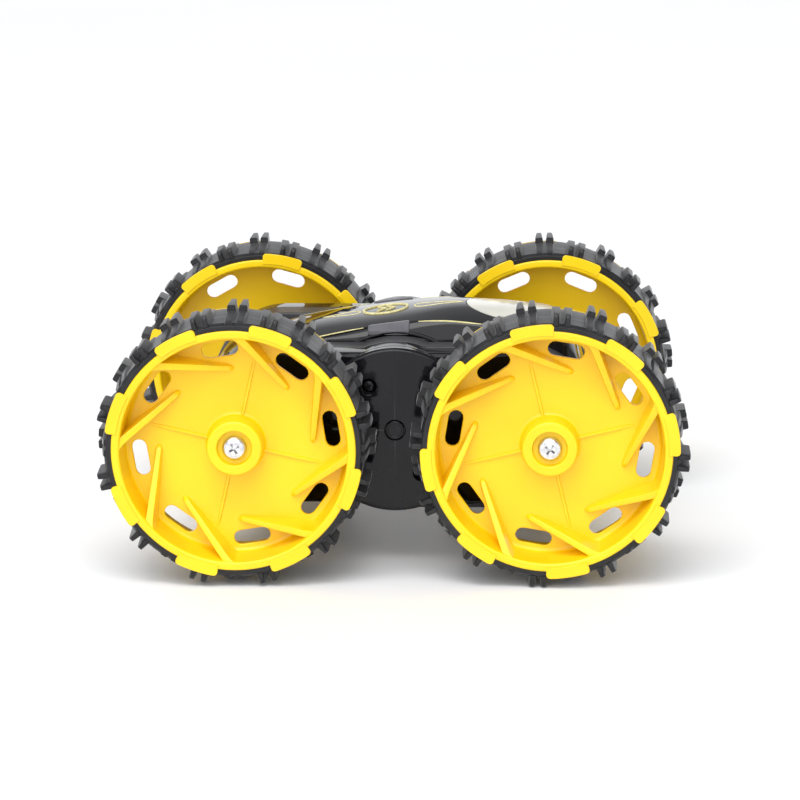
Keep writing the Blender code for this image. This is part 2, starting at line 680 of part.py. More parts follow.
def body_section(place, offset, up):
    """Points over one half of the body, from its crown to the parting line, at one station."""
    crown = smooth_value(ROOF_LINE, place) * MM
    drop = smooth_value(SHOULDER_DROP, place) * MM
    width = smooth_value(SHOULDER_WIDTH, place) * MM
    points = [(share * width, crown - drop * share ** 2 + offset)
              for share in (0.0, 0.25, 0.5, 0.75)]
    points.append((width + 0.3 * offset, crown - drop + 0.8 * offset))
    side_top = min(crown - drop - 2 * MM, ARM_HEIGHT)
    half = min(BODY_HALF, width + 3.4 * MM) + offset
    points.append((half, side_top))
    points.append((half, GAP / 2))
    return [(y, up * z) for y, z in points]


def body_surface(name, offset, up):
    """Open skin of the upper (up = 1) or lower (up = -1) half of the body, open at the parting."""
    bm = bmesh.new()
    rows = []
    for place in BODY_STATIONS:
        half = body_section(place, offset, up)
        whole = [(-y, z) for y, z in reversed(half[1:])] + half
        rows.append([bm.verts.new((place * MM, y, z)) for y, z in whole])
    for row, after in zip(rows, rows[1:]):
        for k in range(len(row) - 1):
            bm.faces.new((row[k], row[k + 1], after[k + 1], after[k]))
    for row in (rows[0], rows[-1]):
        bm.faces.new(row)
    bmesh.ops.recalc_face_normals(bm, faces=bm.faces)
    top = max(bm.faces, key=lambda face: face.calc_center_median().z * up)
    if top.normal.z * up < 0:
        bmesh.ops.reverse_faces(bm, faces=bm.faces)
    return mesh_from(bm, name)


def skin_object(name, offset, thickness, up, material, collection):
    """A body skin made solid inwards, placed at axle height."""
    obj = add_object(name, body_surface(name, offset, up), material, collection)
    obj.location.z = AXLE_HEIGHT
    wall = obj.modifiers.new("wall", "SOLIDIFY")
    wall.thickness = thickness
    wall.offset = -1.0
    wall.use_even_offset = True
    return obj


def windscreen_outline(inset):
    """Round-nosed outline of the windscreen on the roof."""
    start = WINDSCREEN_START + inset
    end = WINDSCREEN_END - inset
    half = WINDSCREEN_HALF - inset
    length = 0.6 * (end - start)
    points = []
    for k in range(11):
        turn = math.radians(90 + 18 * k)
        points.append((start + length * (1 + math.cos(turn)), half * math.sin(turn)))
    return points + [(end, -0.9 * half), (end, 0.9 * half)]


def door_mesh(grow, low, high):
    """Plate of the battery door's outline, at heights below the axles."""
    size = (DOOR_SIZE[0] + 2 * grow, DOOR_SIZE[1] + 2 * grow, high - low)
    return box_mesh("door", size, (DOOR_CENTRE, 0.0, -(low + high) / 2))


def make_shells(paint, collection, cutters):
    upper = skin_object("upper_shell", 0.0, WALL, 1, paint["black"], collection)
    opening = flat_mesh("opening", [windscreen_outline(0.0)], *CUT_HEIGHTS)
    apply_boolean(upper, "DIFFERENCE", opening, cutters)
    x, y = gear_places()["motor"]
    notch_size = (4.4 * MM, 6 * MM, 2 * (y + 2.2 * MM))
    notches = [box_mesh("notch", notch_size, (sign * x, -sign * (BODY_HALF - WALL / 2), 0.0))
               for sign in (1, -1)]
    apply_boolean(upper, "DIFFERENCE", joined_mesh("shaft_notches", notches), cutters)
    screen = skin_object("windscreen", -0.2 * MM, WALL * 0.8, 1, paint["silver"], collection)
    patch = flat_mesh("patch", [windscreen_outline(GAP)], *CUT_HEIGHTS)
    apply_boolean(screen, "INTERSECT", patch, cutters)
    badge = skin_object("roof_badge", 1.0 * MM, 0.7 * MM, 1, paint["pale_yellow"], collection)
    disc = flat_mesh("disc", [ring_points(BADGE_RADIUS, 24, (BADGE_PLACE, 0.0))], *CUT_HEIGHTS)
    apply_boolean(badge, "INTERSECT", disc, cutters)
    lower = skin_object("lower_shell", 0.0, WALL, -1, paint["black"], collection)
    apply_boolean(lower, "DIFFERENCE", door_mesh(GAP, *CUT_HEIGHTS), cutters)
    slot_size = (KNOB_SIZE[0] + SWITCH_TRAVEL + 1 * MM, KNOB_SIZE[1] + 0.8 * MM, 14 * MM)
    slot = box_mesh("slot", slot_size, (SWITCH_PLACE, 0.0, -KNOB_END + 1 * MM))
    apply_boolean(lower, "DIFFERENCE", slot, cutters)


def make_inside(paint, collection, cutters):
    """Battery, its door and screw, circuit board and power switch."""
    length, width, height = BATTERY_SIZE
    low = DOOR_FACE - DOOR_THICKNESS - 0.8 * MM
    battery = add_object("battery_pack", box_mesh("battery", (length, width, height),
                                                  (DOOR_CENTRE, 0.0, height / 2 - low)),
                         paint["blue"], collection)
    battery.location.z = AXLE_HEIGHT
    door = add_object("battery_door", door_mesh(0.0, DOOR_FACE - DOOR_THICKNESS, DOOR_FACE),
                      paint["black"], collection)
    door.location.z = AXLE_HEIGHT
    edge = door.modifiers.new("edge", "BEVEL")
    edge.width = 0.5 * MM
    edge.segments = 1
    screw_x = DOOR_CENTRE - DOOR_SIZE[0] / 2 + DOOR_SCREW_INSET
    hole = cylinder_mesh("hole", DOOR_SCREW, -CUT_HEIGHTS[1], -CUT_HEIGHTS[0], 14,
                         (screw_x, 0.0))
    apply_boolean(door, "DIFFERENCE", hole, cutters)
    mesh = cylinder_mesh("screw", DOOR_SCREW - GAP, -DOOR_FACE + 0.2 * MM,
                         -DOOR_FACE + DOOR_THICKNESS, 14, (screw_x, 0.0))
    screw = add_object("battery_door_screw", mesh, paint["steel"], collection)
    screw.location.z = AXLE_HEIGHT
    board = add_object("circuit_board", box_mesh("board", BOARD_SIZE, BOARD_CENTRE),
                       paint["green"], collection)
    board.location.z = AXLE_HEIGHT
    knob_size = (*KNOB_SIZE, KNOB_END - KNOB_TOP)
    knob_place = (SWITCH_PLACE - SWITCH_TRAVEL / 2, 0.0, -(KNOB_END + KNOB_TOP) / 2)
    knob = add_object("power_switch", box_mesh("knob", knob_size, (0.0, 0.0, 0.0)),
                      paint["dark_steel"], collection)
    knob.location = (knob_place[0], knob_place[1], knob_place[2] + AXLE_HEIGHT)


def shade_round_pieces(collection):
    for obj in collection.objects:
        obj.data.shade_smooth()
        obj.data.set_sharp_from_angle(angle=math.radians(32))


def main():
    clear_scene()
    collection = make_collection("stunt_car")
    cutters = make_collection("cutters")
    cutters.hide_render = True
    paint = {
        "yellow": make_material("yellow_plastic", (0.95, 0.72, 0.02), 0.35),
        "tyre": make_material("tyre_rubber", (0.03, 0.03, 0.03), 0.75),
        "black": make_material("gloss_black", (0.012, 0.012, 0.014), 0.12),
        "silver": make_material("silver_plastic", (0.75, 0.76, 0.78), 0.15, 0.8),
        "pale_yellow": make_material("pale_yellow", (0.85, 0.78, 0.45), 0.4),
        "steel": make_material("steel", (0.7, 0.7, 0.72), 0.25, 1.0),
        "dark_steel": make_material("dark_steel", (0.15, 0.15, 0.16), 0.35, 0.9),
        "brass": make_material("brass", (0.75, 0.55, 0.2), 0.3, 1.0),
        "nylon": make_material("white_nylon", (0.85, 0.85, 0.82), 0.5),
        "rubber": make_material("seal_rubber", (0.05, 0.05, 0.05), 0.8),
        "blue": make_material("battery_wrap", (0.05, 0.2, 0.6), 0.4),
        "green": make_material("board_green", (0.02, 0.3, 0.1), 0.45),
    }
    frames = {side: make_side(side, paint, collection, cutters) for side in ("right", "left")}
    for name, (side, sign, slot_turn, lug_turn) in WHEELS.items():
        place = sign * HALF_BASE
        make_wheel(name, frames[side], place, slot_turn, lug_turn, paint, collection, cutters)
        make_seal(name + "_axle_seal", frames[side], place, paint, collection)
    make_shells(paint, collection, cutters)
    make_inside(paint, collection, cutters)
    shade_round_pieces(collection)


main()
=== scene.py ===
"""Looks of the four-wheel stunt car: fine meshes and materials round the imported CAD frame, in metres.

+X is the front and the car's right side faces -Y. Wheels and side gearboxes are modelled in their
side's frame: X along the car, Y up from the axles, Z out from the car's middle plane.
"""

import json
import math

import bmesh
import bpy
from mathutils import Matrix, Vector


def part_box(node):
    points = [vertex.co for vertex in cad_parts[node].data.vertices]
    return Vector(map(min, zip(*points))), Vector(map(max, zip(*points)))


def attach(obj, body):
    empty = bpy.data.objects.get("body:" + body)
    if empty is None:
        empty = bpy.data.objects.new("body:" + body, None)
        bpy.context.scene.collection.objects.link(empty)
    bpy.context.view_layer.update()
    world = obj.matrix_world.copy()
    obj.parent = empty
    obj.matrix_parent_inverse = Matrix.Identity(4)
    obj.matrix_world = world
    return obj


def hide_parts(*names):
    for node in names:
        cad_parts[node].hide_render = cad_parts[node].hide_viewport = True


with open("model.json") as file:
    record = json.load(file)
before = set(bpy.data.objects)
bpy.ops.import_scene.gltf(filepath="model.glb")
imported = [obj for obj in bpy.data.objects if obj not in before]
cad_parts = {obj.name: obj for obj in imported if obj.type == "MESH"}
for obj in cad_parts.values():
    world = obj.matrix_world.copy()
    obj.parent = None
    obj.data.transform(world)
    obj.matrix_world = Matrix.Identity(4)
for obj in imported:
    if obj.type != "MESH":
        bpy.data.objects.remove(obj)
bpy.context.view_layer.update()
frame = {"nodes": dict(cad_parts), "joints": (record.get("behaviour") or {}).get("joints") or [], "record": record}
MM = 0.001
JOINTS = {joint["name"]: joint for joint in frame["joints"]}

# Places taken from the frame
HALF_BASE = JOINTS["front_right_wheel_spin"]["pos_m"][0]
AXLE_HEIGHT = JOINTS["front_right_wheel_spin"]["pos_m"][2]
RIM_LOW, RIM_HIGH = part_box("front_right_rim")
WHEEL_OUTER = -RIM_LOW.y
WHEEL_INNER = -RIM_HIGH.y
POD_LOW, POD_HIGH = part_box("right_gearbox_cover")
HOUSING_LOW, HOUSING_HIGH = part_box("right_gearbox_housing")
ARM_LENGTH = POD_HIGH.x
POD_RADIUS = POD_HIGH.z - AXLE_HEIGHT + 0.1 * MM
POD_INNER = -HOUSING_HIGH.y

# Wheel moulding, seen from outside: angles in degrees, counter-clockwise from the first slot
WHEEL_STEPS = 128
RIM_RADIUS = 41.9 * MM
RIM_MOUTH = 39.1 * MM
RIM_FRONT = WHEEL_OUTER - 0.4 * MM
RIM_BACK = WHEEL_INNER + 0.4 * MM
WEB_RADIUS = 38.2 * MM
WEB_FRONT = 71.4 * MM
WEB_BACK = 69.6 * MM
BOSS_RADIUS = 9.5 * MM
BOSS_FACE = 80.0 * MM
RECESS_RADIUS = 6.1 * MM
RECESS_FLOOR = 77.8 * MM
BACK_BOSS_RADIUS = 7.0 * MM
BACK_BOSS_FACE = 61.8 * MM
SCREW_BORE = 1.6 * MM
AXLE_BORE = 2.7 * MM
AXLE_END = 74.0 * MM
SLOT_CENTRE = 33.3 * MM
SLOT_LENGTH = 12.8 * MM
SLOT_WIDTH = 5.1 * MM
SLOT_FLARE = 0.25 * MM
SLOT_CHORDS = 6
BLADES = 8
BLADE_RIM_ANGLE = -11.0
BLADE_TIP_ANGLE = -53.0
BLADE_TIP_RADIUS = 26.4 * MM
BLADE_TIP_RISE = 1.3 * MM
BLADE_TOP = 2.3 * MM
BLADE_BASE = 2.7 * MM
BLADE_ROOT = 0.14              # shares of the blade's length: its flared root ends here,
BLADE_NOSE = 0.93              # and its round tip begins here
BLADE_STATIONS = (0.0, 0.03, 0.06, 0.1, BLADE_ROOT, 0.3, 0.5, 0.7, BLADE_NOSE, 0.955, 0.975, 0.99,
                  1.0)
CLIP_ANGLE = 18.0
INNER_CLIP_ANGLE = -5.0
CLIP_SPAN = 20.0
CLIP_INNER = 40.4 * MM
CLIP_RADIUS = 44.35 * MM
CLIP_CORNER = 1.3 * MM
CLIP_THICKNESS = 0.9 * MM
CLIP_EDGE = 0.35 * MM
CLIP_STEPS = 12
RIDGES = 4
RIDGE_ANGLE = -22.0
# Ridge from the boss outwards: (radius, height in millimetres), and half-widths at foot and top
RIDGE_LINE = ((BOSS_RADIUS - 1 * MM, 0.8), (BOSS_RADIUS + 1 * MM, 0.8), (24 * MM, 0.7),
              (30 * MM, 0.1))
RIDGE_FOOT = 0.7
RIDGE_TOP = 0.35

# Tyre
CLIP_GAP = 0.95 * MM           # rim edge to tyre edge
TYRE_INNER = WHEEL_INNER + CLIP_GAP
TYRE_OUTER = WHEEL_OUTER - CLIP_GAP
TYRE_BORE = 42.0 * MM
TYRE_RADIUS = 44.7 * MM
TYRE_SHOULDER = 43.5 * MM
TYRE_GROOVES = (6.0, 1.2, -1.2, -6.0)
LUG_PAIRS = 24
LUG_STEP = 5.0                 # degrees between the two lugs of a pair
LUG_ROOT = 43.8 * MM
LUG_EDGE = 0.35 * MM
# Lug along the tyre's width in millimetres from its tall end: (place, top radius, half-width)
LUG_SHAPE = ((0.0, 46.2, 0.55), (0.3, 47.1, 0.7), (0.9, 47.7, 0.85), (2.2, 47.95, 0.98),
             (7.0, 47.95, 1.2), (13.5, 47.95, 1.4), (13.9, 47.8, 1.42), (14.1, 46.0, 1.45),
             (18.0, 45.8, 1.4), (26.0, 45.2, 1.25), (28.6, 44.5, 1.1))

# Each wheel's side and end, the turn of its first slot and that of its first inboard-tall lugs
WHEELS = {
    "front_right": ("right", 1, 35.5, 10.1),
    "rear_right": ("right", -1, 8.9, 28.9),
    "front_left": ("left", -1, 22.4, 43.5),
    "rear_left": ("left", 1, 15.7, 12.5),
}

# Screws: head radius, head height and shank radius
WHEEL_SCREW = (4.2 * MM, 2.4 * MM, 1.3 * MM)
DISC_SCREW = (2.4 * MM, 1.7 * MM, 1.3 * MM)
ARM_SCREW = (2.9 * MM, 1.7 * MM, 1.3 * MM)
DOOR_SCREW = (2.1 * MM, 1.4 * MM, 1.2 * MM)

# Gearbox
POD_SPLIT = 38.0 * MM
POD_LOW_EDGE = 38.3 * MM
ARM_FACE = 47.5 * MM
ARM_HEIGHT = 27.0 * MM
ARM_CORNER = 26.5 * MM
POD_FACE = 50.6 * MM
POD_BURY = 0.9 * MM            # depth that the disc, snouts and posts start inside a wall
CASE_WALL = 1.8 * MM
CASE_EDGE = 0.25 * MM
SNOUT_END = 60.2 * MM
SNOUT_BORE = 4.4 * MM
PIN_RADIUS = 1.5 * MM
POST_RADIUS = 3.0 * MM
MOTOR_BORE = 3.4 * MM
DISC_SCREW_PLACE = (9.2 * MM, 15.4 * MM)
ARM_SCREW_PLACE = (46.0 * MM, 18.0 * MM)
PLUG_RADIUS = 3.25 * MM
PLUG_DEPTH = 1.7 * MM

# Body above the axles, as (place along the car, value) in millimetres
ROOF_LINE = ((-68, 12), (-62, 20.5), (-50, 25.5), (-32, 29.6), (-12, 32.7), (8, 35.2),
             (20, 36.3), (32, 35.9), (45, 34.8), (56, 33.0), (63, 27.5), (67, 15))
SHOULDER_DROP = ((-68, 2.0), (-38, 2.4), (-12, 1.6), (7, 1.7), (30, 3.3), (67, 3.5))
SHOULDER_WIDTH = ((-68, 19), (-60, 23.5), (-38, 25.4), (-12, 23.5), (7, 23.0), (30, 24.4),
                  (56, 24.0), (67, 19))
BODY_HALF = 26.4 * MM
BODY_START = -67.9
BODY_END = 66.9
BODY_EDGE = 0.25
PARTING_GAP = 0.15 * MM
ROOF_SHARES = (0.0, 0.12, 0.25, 0.38, 0.5, 0.62, 0.75, 0.86, 0.94, 0.985)
FLANK_SHARES = (0.3, 0.6, 0.85)
WALL_SHARES = (0.0, 0.12, 0.35, 0.6, 0.85, 0.985)
SCREEN_RISE = 0.1 * MM
SCREEN_GAP = 0.35 * MM
SCREEN_CUT = (25 * MM, 45 * MM)

# Marks and trims of the body, in millimetres unless a length carries its unit
BADGE_PLACE = -5.0 * MM
BADGE_RADIUS = 8.4 * MM
BADGE_LINE = 0.9 * MM
BADGE_RISE = 0.5 * MM
BADGE_STEPS = 48
ARROW_SHIFTS = (-2.6, 0.6)
ARROW_PLACES = (-3.6, -2.4, -1.2, 0.0, 1.2, 2.4, 3.6)
STRIPES = (("rear_stripe", -14.2, -27.5, 3.0), ("front_stripe", 5.5, 23.0, 3.2))
STRIPE_LINE = 0.6 * MM
SHOULDER_LINES = ((-38.0, -12.0), (7.5, 30.0))
SHOULDER_STEPS = 24
LATCH_STATIONS = ((-10.3, 0.35), (-10.0, 0.1), (-9.4, 0.0), (3.4, 0.0), (4.0, 0.1), (4.3, 0.35))
LATCH_FACE = 26.95
LIP_START = 42
LIP_SPAN = 96
LIP_STEPS = 40
LIP_SECTION = ((29.55, 25.6), (30.6, 25.6), (30.8, 26.2), (30.65, 26.75), (30.3, 26.95),
               (29.8, 26.95), (29.55, 26.7))

# Camera, in metres and degrees
CAMERA_PLACE = (0.04445, -1.2352, 0.3162)
CAMERA_LENS = 156.3
CAMERA_YAW = 2.06
CAMERA_PITCH = -12.25
CAMERA_ROLL = -0.3


# Mesh helpers -------------------------------------------------------------------------------

def polar(radius, degrees):
    angle = math.radians(degrees)
    return (radius * math.cos(angle), radius * math.sin(angle))


def mesh_from(bm, name):
    mesh = bpy.data.meshes.new(name)
    bm.to_mesh(mesh)
    bm.free()
    return mesh


def add_object(name, mesh, material=None):
    obj = bpy.data.objects.new(name, mesh)
    bpy.context.scene.collection.objects.link(obj)
    if material:
        mesh.materials.clear()
        mesh.materials.append(material)
    return obj


def joined(name, meshes):
    """One mesh from several; the parts stay separate shells."""
    bm = bmesh.new()
    for mesh in meshes:
        bm.from_mesh(mesh)
    return mesh_from(bm, name)


def turned_copy(mesh, degrees):
    """A copy turned about Z."""
    copy = mesh.copy()
    copy.transform(Matrix.Rotation(math.radians(degrees), 4, "Z"))
    return copy


def applied(obj):
    """Mesh of an object as its modifiers leave it; the object is removed."""
    bpy.context.view_layer.update()
    graph = bpy.context.evaluated_depsgraph_get()
    mesh = bpy.data.meshes.new_from_object(obj.evaluated_get(graph))
    bpy.data.objects.remove(obj)
    return mesh


def smooth(mesh, degrees=32):
    """Smooth shading with crisp sharp edges and flat broad faces."""
    mesh.shade_smooth()
    mesh.set_sharp_from_angle(angle=math.radians(degrees))
    obj = add_object("shading", mesh)
    modifier = obj.modifiers.new("normals", "WEIGHTED_NORMAL")
    modifier.keep_sharp = True
    return applied(obj)


def rounded(points, steps=4):
    """Closed outline with rounded corners, from (a, b, corner radius) points."""
    outline = []
    count = len(points)
    for k, (a, b, radius) in enumerate(points):
        here = Vector((a, b))
        before = Vector(points[k - 1][:2]) - here
        after = Vector(points[(k + 1) % count][:2]) - here
        half = before.angle(after) / 2
        if radius <= 0 or half > 1.55:
            outline.append((a, b))
            continue
        reach = min(radius / math.tan(half), 0.49 * before.length, 0.49 * after.length)
        start = here + before.normalized() * reach
        end = here + after.normalized() * reach
        for step in range(steps + 1):
            t = step / steps
            point = (1 - t) ** 2 * start + 2 * t * (1 - t) * here + t * t * end
            outline.append((point.x, point.y))
    return outline


def spun(name, outline, steps, centre=(0.0, 0.0)):
    """Ring or solid of revolution about Z from a closed (radius, height) outline."""
    bm = bmesh.new()
    poles = {i: bm.verts.new((*centre, z)) for i, (r, z) in enumerate(outline) if r < 1e-7}
    rings = []
    for k in range(steps):
        turn = 2 * math.pi * k / steps
        rings.append([poles.get(i) or bm.verts.new((centre[0] + r * math.cos(turn),
                                                    centre[1] + r * math.sin(turn), z))
                      for i, (r, z) in enumerate(outline)])
    count = len(outline)
    for k, ring in enumerate(rings):
        after = rings[(k + 1) % steps]
        for i in range(count):
            j = (i + 1) % count
            corners = []
            for vert in (ring[i], ring[j], after[j], after[i]):
                if vert not in corners:
                    corners.append(vert)
            if len(corners) > 2:
                bm.faces.new(corners)
    bmesh.ops.recalc_face_normals(bm, faces=bm.faces)
    return mesh_from(bm, name)


def lofted(name, rings, closed_ends=True):
    """Skin through rings of equal point counts, with flat ends."""
    bm = bmesh.new()
    rows = [[bm.verts.new(point) for point in ring] for ring in rings]
    count = len(rows[0])
    for row, after in zip(rows, rows[1:]):
        for i in range(count):
            j = (i + 1) % count
            bm.faces.new((row[i], row[j], after[j], after[i]))
    if closed_ends:
        bm.faces.new(reversed(rows[0]))
        bm.faces.new(rows[-1])
    bmesh.ops.recalc_face_normals(bm, faces=bm.faces)
    return mesh_from(bm, name)


def bevelled(mesh, width, segments=2, degrees=30):
    """The mesh with its sharp edges rounded."""
    bm = bmesh.new()
    bm.from_mesh(mesh)
    edges = [e for e in bm.edges if len(e.link_faces) == 2
             and e.calc_face_angle() > math.radians(degrees)]
    bmesh.ops.bevel(bm, geom=edges, offset=width, offset_type="OFFSET", segments=segments,
                    profile=0.5, affect="EDGES", clamp_overlap=True)
    bm.to_mesh(mesh)
    bm.free()
    return mesh


def boolean(mesh, tool, operation="DIFFERENCE"):
    """Result of cutting or joining two closed meshes."""
    base = add_object("base", mesh)
    cutter = add_object("cutter", tool)
    modifier = base.modifiers.new("cut", "BOOLEAN")
    modifier.operation = operation
    modifier.object = cutter
    modifier.solver = "EXACT"
    result = applied(base)
    bpy.data.objects.remove(cutter)
    return result


def side_matrix(side, place=(0.0, 0.0), turn=0.0):
    """From a side's frame to the car's: Z goes out from the car, Y up."""
    half_turn = 0.0 if side == "right" else math.pi
    return (Matrix.Translation((0, 0, AXLE_HEIGHT)) @ Matrix.Rotation(half_turn, 4, "Z")
            @ Matrix.Rotation(math.pi / 2, 4, "X") @ Matrix.Translation((*place, 0))
            @ Matrix.Rotation(math.radians(turn), 4, "Z"))


def finish_piece(obj, body, slot, *nodes):
    """Rides on a body and stands for its CAD nodes, which it hides; the slot argument is not used."""
    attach(obj, body)
    if nodes:
        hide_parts(*nodes)
    return obj


def eased(points, place):
    """Value at a place along (place, value) points, with a smooth slope through each point."""
    places = [p for p, _ in points]
    values = [v for _, v in points]
    if place <= places[0]:
        return values[0]
    if place >= places[-1]:
        return values[-1]
    last = len(points) - 1
    k = max(i for i in range(last) if places[i] <= place)
    slopes = []
    for i in (k, k + 1):
        before = max(i - 1, 0)
        after = min(i + 1, last)
        slopes.append((values[after] - values[before]) / (places[after] - places[before]))
    width = places[k + 1] - places[k]
    t = (place - places[k]) / width
    start = values[k] * (1 + 2 * t) * (1 - t) ** 2 + slopes[0] * width * t * (1 - t) ** 2
    return start + values[k + 1] * t * t * (3 - 2 * t) + slopes[1] * width * t * t * (t - 1)


# Materials ----------------------------------------------------------------------------------

def noise(tree, scale, detail, stretch=(1.0, 1.0, 1.0)):
    """Noise in object space; scale is in cycles per metre."""
    coords = tree.nodes.new("ShaderNodeTexCoord")
    mapping = tree.nodes.new("ShaderNodeMapping")
    mapping.inputs["Scale"].default_value = stretch
    texture = tree.nodes.new("ShaderNodeTexNoise")
    texture.inputs["Scale"].default_value = scale
    texture.inputs["Detail"].default_value = detail
    tree.links.new(coords.outputs["Object"], mapping.inputs["Vector"])
    tree.links.new(mapping.outputs["Vector"], texture.inputs["Vector"])
    return texture


def surface(name, dark, light, texture, roughness, spread=None, bump=None, ramp=(0.35, 0.65),
            metallic=0.0, **sockets):
    """Principled material whose colour and roughness vary with one noise over a finer bump.

    texture is (scale, detail[, stretch]), spread the roughness range, and bump (scale, detail,
    depth, strength)."""
    material = bpy.data.materials.new(name)
    material.use_nodes = True
    tree = material.node_tree
    shader = tree.nodes["Principled BSDF"]
    sockets.update(Roughness=roughness, Metallic=metallic)
    for socket, value in sockets.items():
        shader.inputs[socket.replace("_", " ")].default_value = value
    broad = noise(tree, *texture)
    blend = tree.nodes.new("ShaderNodeValToRGB")
    for element, position, color in zip(blend.color_ramp.elements, ramp, (dark, light)):
        element.position = position
        element.color = (*color, 1.0)
    tree.links.new(broad.outputs["Fac"], blend.inputs["Fac"])
    tree.links.new(blend.outputs["Color"], shader.inputs["Base Color"])
    if spread:
        gloss = tree.nodes.new("ShaderNodeMapRange")
        gloss.inputs["To Min"].default_value, gloss.inputs["To Max"].default_value = spread
        tree.links.new(broad.outputs["Fac"], gloss.inputs["Value"])
        tree.links.new(gloss.outputs["Result"], shader.inputs["Roughness"])
    if bump:
        scale, detail, depth, strength = bump
        relief = tree.nodes.new("ShaderNodeBump")
        relief.inputs["Distance"].default_value = depth
        relief.inputs["Strength"].default_value = strength
        fine = noise(tree, scale, detail)
        tree.links.new(fine.outputs["Fac"], relief.inputs["Height"])
        tree.links.new(relief.outputs["Normal"], shader.inputs["Normal"])
    return material


def satin_black(name, dark, light):
    """Moulded black plastic with a fine spark-eroded grain."""
    return surface(name, dark, light, (80.0, 3.0), 0.32, (0.28, 0.42),
                   (1400.0, 2.0, 0.00008, 0.8))


def plain_moulding(name, dark, light, roughness, metallic=0.0):
    """Material of the hidden pieces: mottled colour and a fine grain."""
    return surface(name, dark, light, (200.0, 4.0), roughness,
                   (roughness - 0.06, roughness + 0.08), (1800.0, 3.0, 0.00003, 0.4),
                   metallic=metallic)


PAINT = {
    # Faint flow marks and a soft sheen
    "yellow_plastic": surface("yellow_plastic", (0.86, 0.565, 0.002), (0.90, 0.61, 0.004),
                              (38.0, 2.0), 0.32, (0.28, 0.38), (900.0, 4.0, 0.00002, 0.25),
                              Subsurface_Weight=0.06, Subsurface_Scale=0.002,
                              Subsurface_Radius=(1.0, 0.7, 0.15)),
    # A satin skin with a dusty bloom at grazing angles
    "tyre_rubber": surface("tyre_rubber", (0.004, 0.004, 0.005), (0.014, 0.014, 0.016),
                           (160.0, 5.0), 0.4, (0.32, 0.5), (1500.0, 5.0, 0.00006, 0.4),
                           (0.3, 0.75), IOR=1.42, Sheen_Weight=0.25, Sheen_Roughness=0.3),
    # Faint ripple in the reflections and a few dull patches
    "gloss_black": surface("gloss_black", (0.004, 0.004, 0.0055), (0.008, 0.008, 0.010),
                           (60.0, 3.0), 0.06, (0.04, 0.11), (45.0, 1.0, 0.00008, 0.25),
                           IOR=1.33),
    "black_plastic": satin_black("satin_black", (0.033, 0.033, 0.037), (0.058, 0.058, 0.064)),
    # The latch's satin black with its real grain, painted paler: the lighter colour is painted light from above
    # falling on the latch
    "latch_painted_light": satin_black("latch_painted_light", (0.085, 0.085, 0.097), (0.13, 0.13, 0.145)),
    # Pearl white paint under a clear coat
    "silver_plastic": surface("silver_plastic", (0.62, 0.61, 0.54), (0.70, 0.69, 0.61),
                              (70.0, 3.0), 0.22, (0.16, 0.28), Coat_Weight=0.3,
                              Coat_Roughness=0.05),
    # A printed line, slightly uneven in cover
    "pale_yellow": surface("pale_paint", (0.62, 0.54, 0.20), (0.84, 0.78, 0.42),
                           (1200.0, 3.0), 0.35),
    # Zinc plating with fine scratches
    "steel": surface("plated_steel", (0.58, 0.58, 0.60), (0.80, 0.80, 0.81),
                     (700.0, 4.0, (1.0, 6.0, 1.0)), 0.2, (0.14, 0.34), metallic=1.0),
    "dark_steel": surface("dark_steel", (0.012, 0.012, 0.014), (0.035, 0.035, 0.04),
                          (900.0, 4.0), 0.35, (0.25, 0.45), metallic=0.9),
    "brass": plain_moulding("brass", (0.55, 0.38, 0.12), (0.75, 0.55, 0.22), 0.3, 1.0),
    "white_nylon": plain_moulding("white_nylon", (0.70, 0.70, 0.66), (0.84, 0.84, 0.80), 0.45),
    "seal_rubber": plain_moulding("seal_rubber", (0.02, 0.02, 0.02), (0.05, 0.05, 0.05), 0.7),
    "battery_wrap": plain_moulding("battery_wrap", (0.02, 0.10, 0.38), (0.04, 0.17, 0.5), 0.3),
    "board_green": plain_moulding("board_green", (0.01, 0.15, 0.06), (0.02, 0.24, 0.1), 0.35),
}


def dress_cad_nodes():
    """Every carried-over CAD node gets the material of its slot."""
    slots = {part["node"]: part["material_slot"] for part in frame["record"]["subparts"]}
    for node, obj in frame["nodes"].items():
        obj.data.materials.clear()
        obj.data.materials.append(PAINT[slots[node]])
        obj.data.shade_smooth()
        obj.data.set_sharp_from_angle(angle=math.radians(32))


# Wheels -------------------------------------------------------------------------------------

def rim_ring():
    """Barrel, web, front boss with its screw recess and rear axle socket, as one turned piece."""
    outline = rounded([
        (RIM_RADIUS, RIM_FRONT, 0.7 * MM), (RIM_MOUTH, RIM_FRONT, 0.9 * MM),
        (WEB_RADIUS, WEB_FRONT, 1.6 * MM), (BOSS_RADIUS + 0.5 * MM, WEB_FRONT, 1.6 * MM),
        (BOSS_RADIUS, BOSS_FACE, 1.0 * MM), (RECESS_RADIUS, BOSS_FACE, 0.5 * MM),
        (RECESS_RADIUS - 0.3 * MM, RECESS_FLOOR, 0.5 * MM), (SCREW_BORE, RECESS_FLOOR, 0),
        (SCREW_BORE, AXLE_END, 0), (AXLE_BORE, AXLE_END, 0),
        (AXLE_BORE, BACK_BOSS_FACE, 0.2 * MM),
        (BACK_BOSS_RADIUS, BACK_BOSS_FACE, 0.4 * MM), (BACK_BOSS_RADIUS, WEB_BACK, 1.2 * MM),
        (WEB_RADIUS, WEB_BACK, 1.4 * MM), (RIM_MOUTH, RIM_BACK, 0.9 * MM),
        (RIM_RADIUS, RIM_BACK, 0.7 * MM),
    ], 6)
    return spun("rim_ring", outline, WHEEL_STEPS)


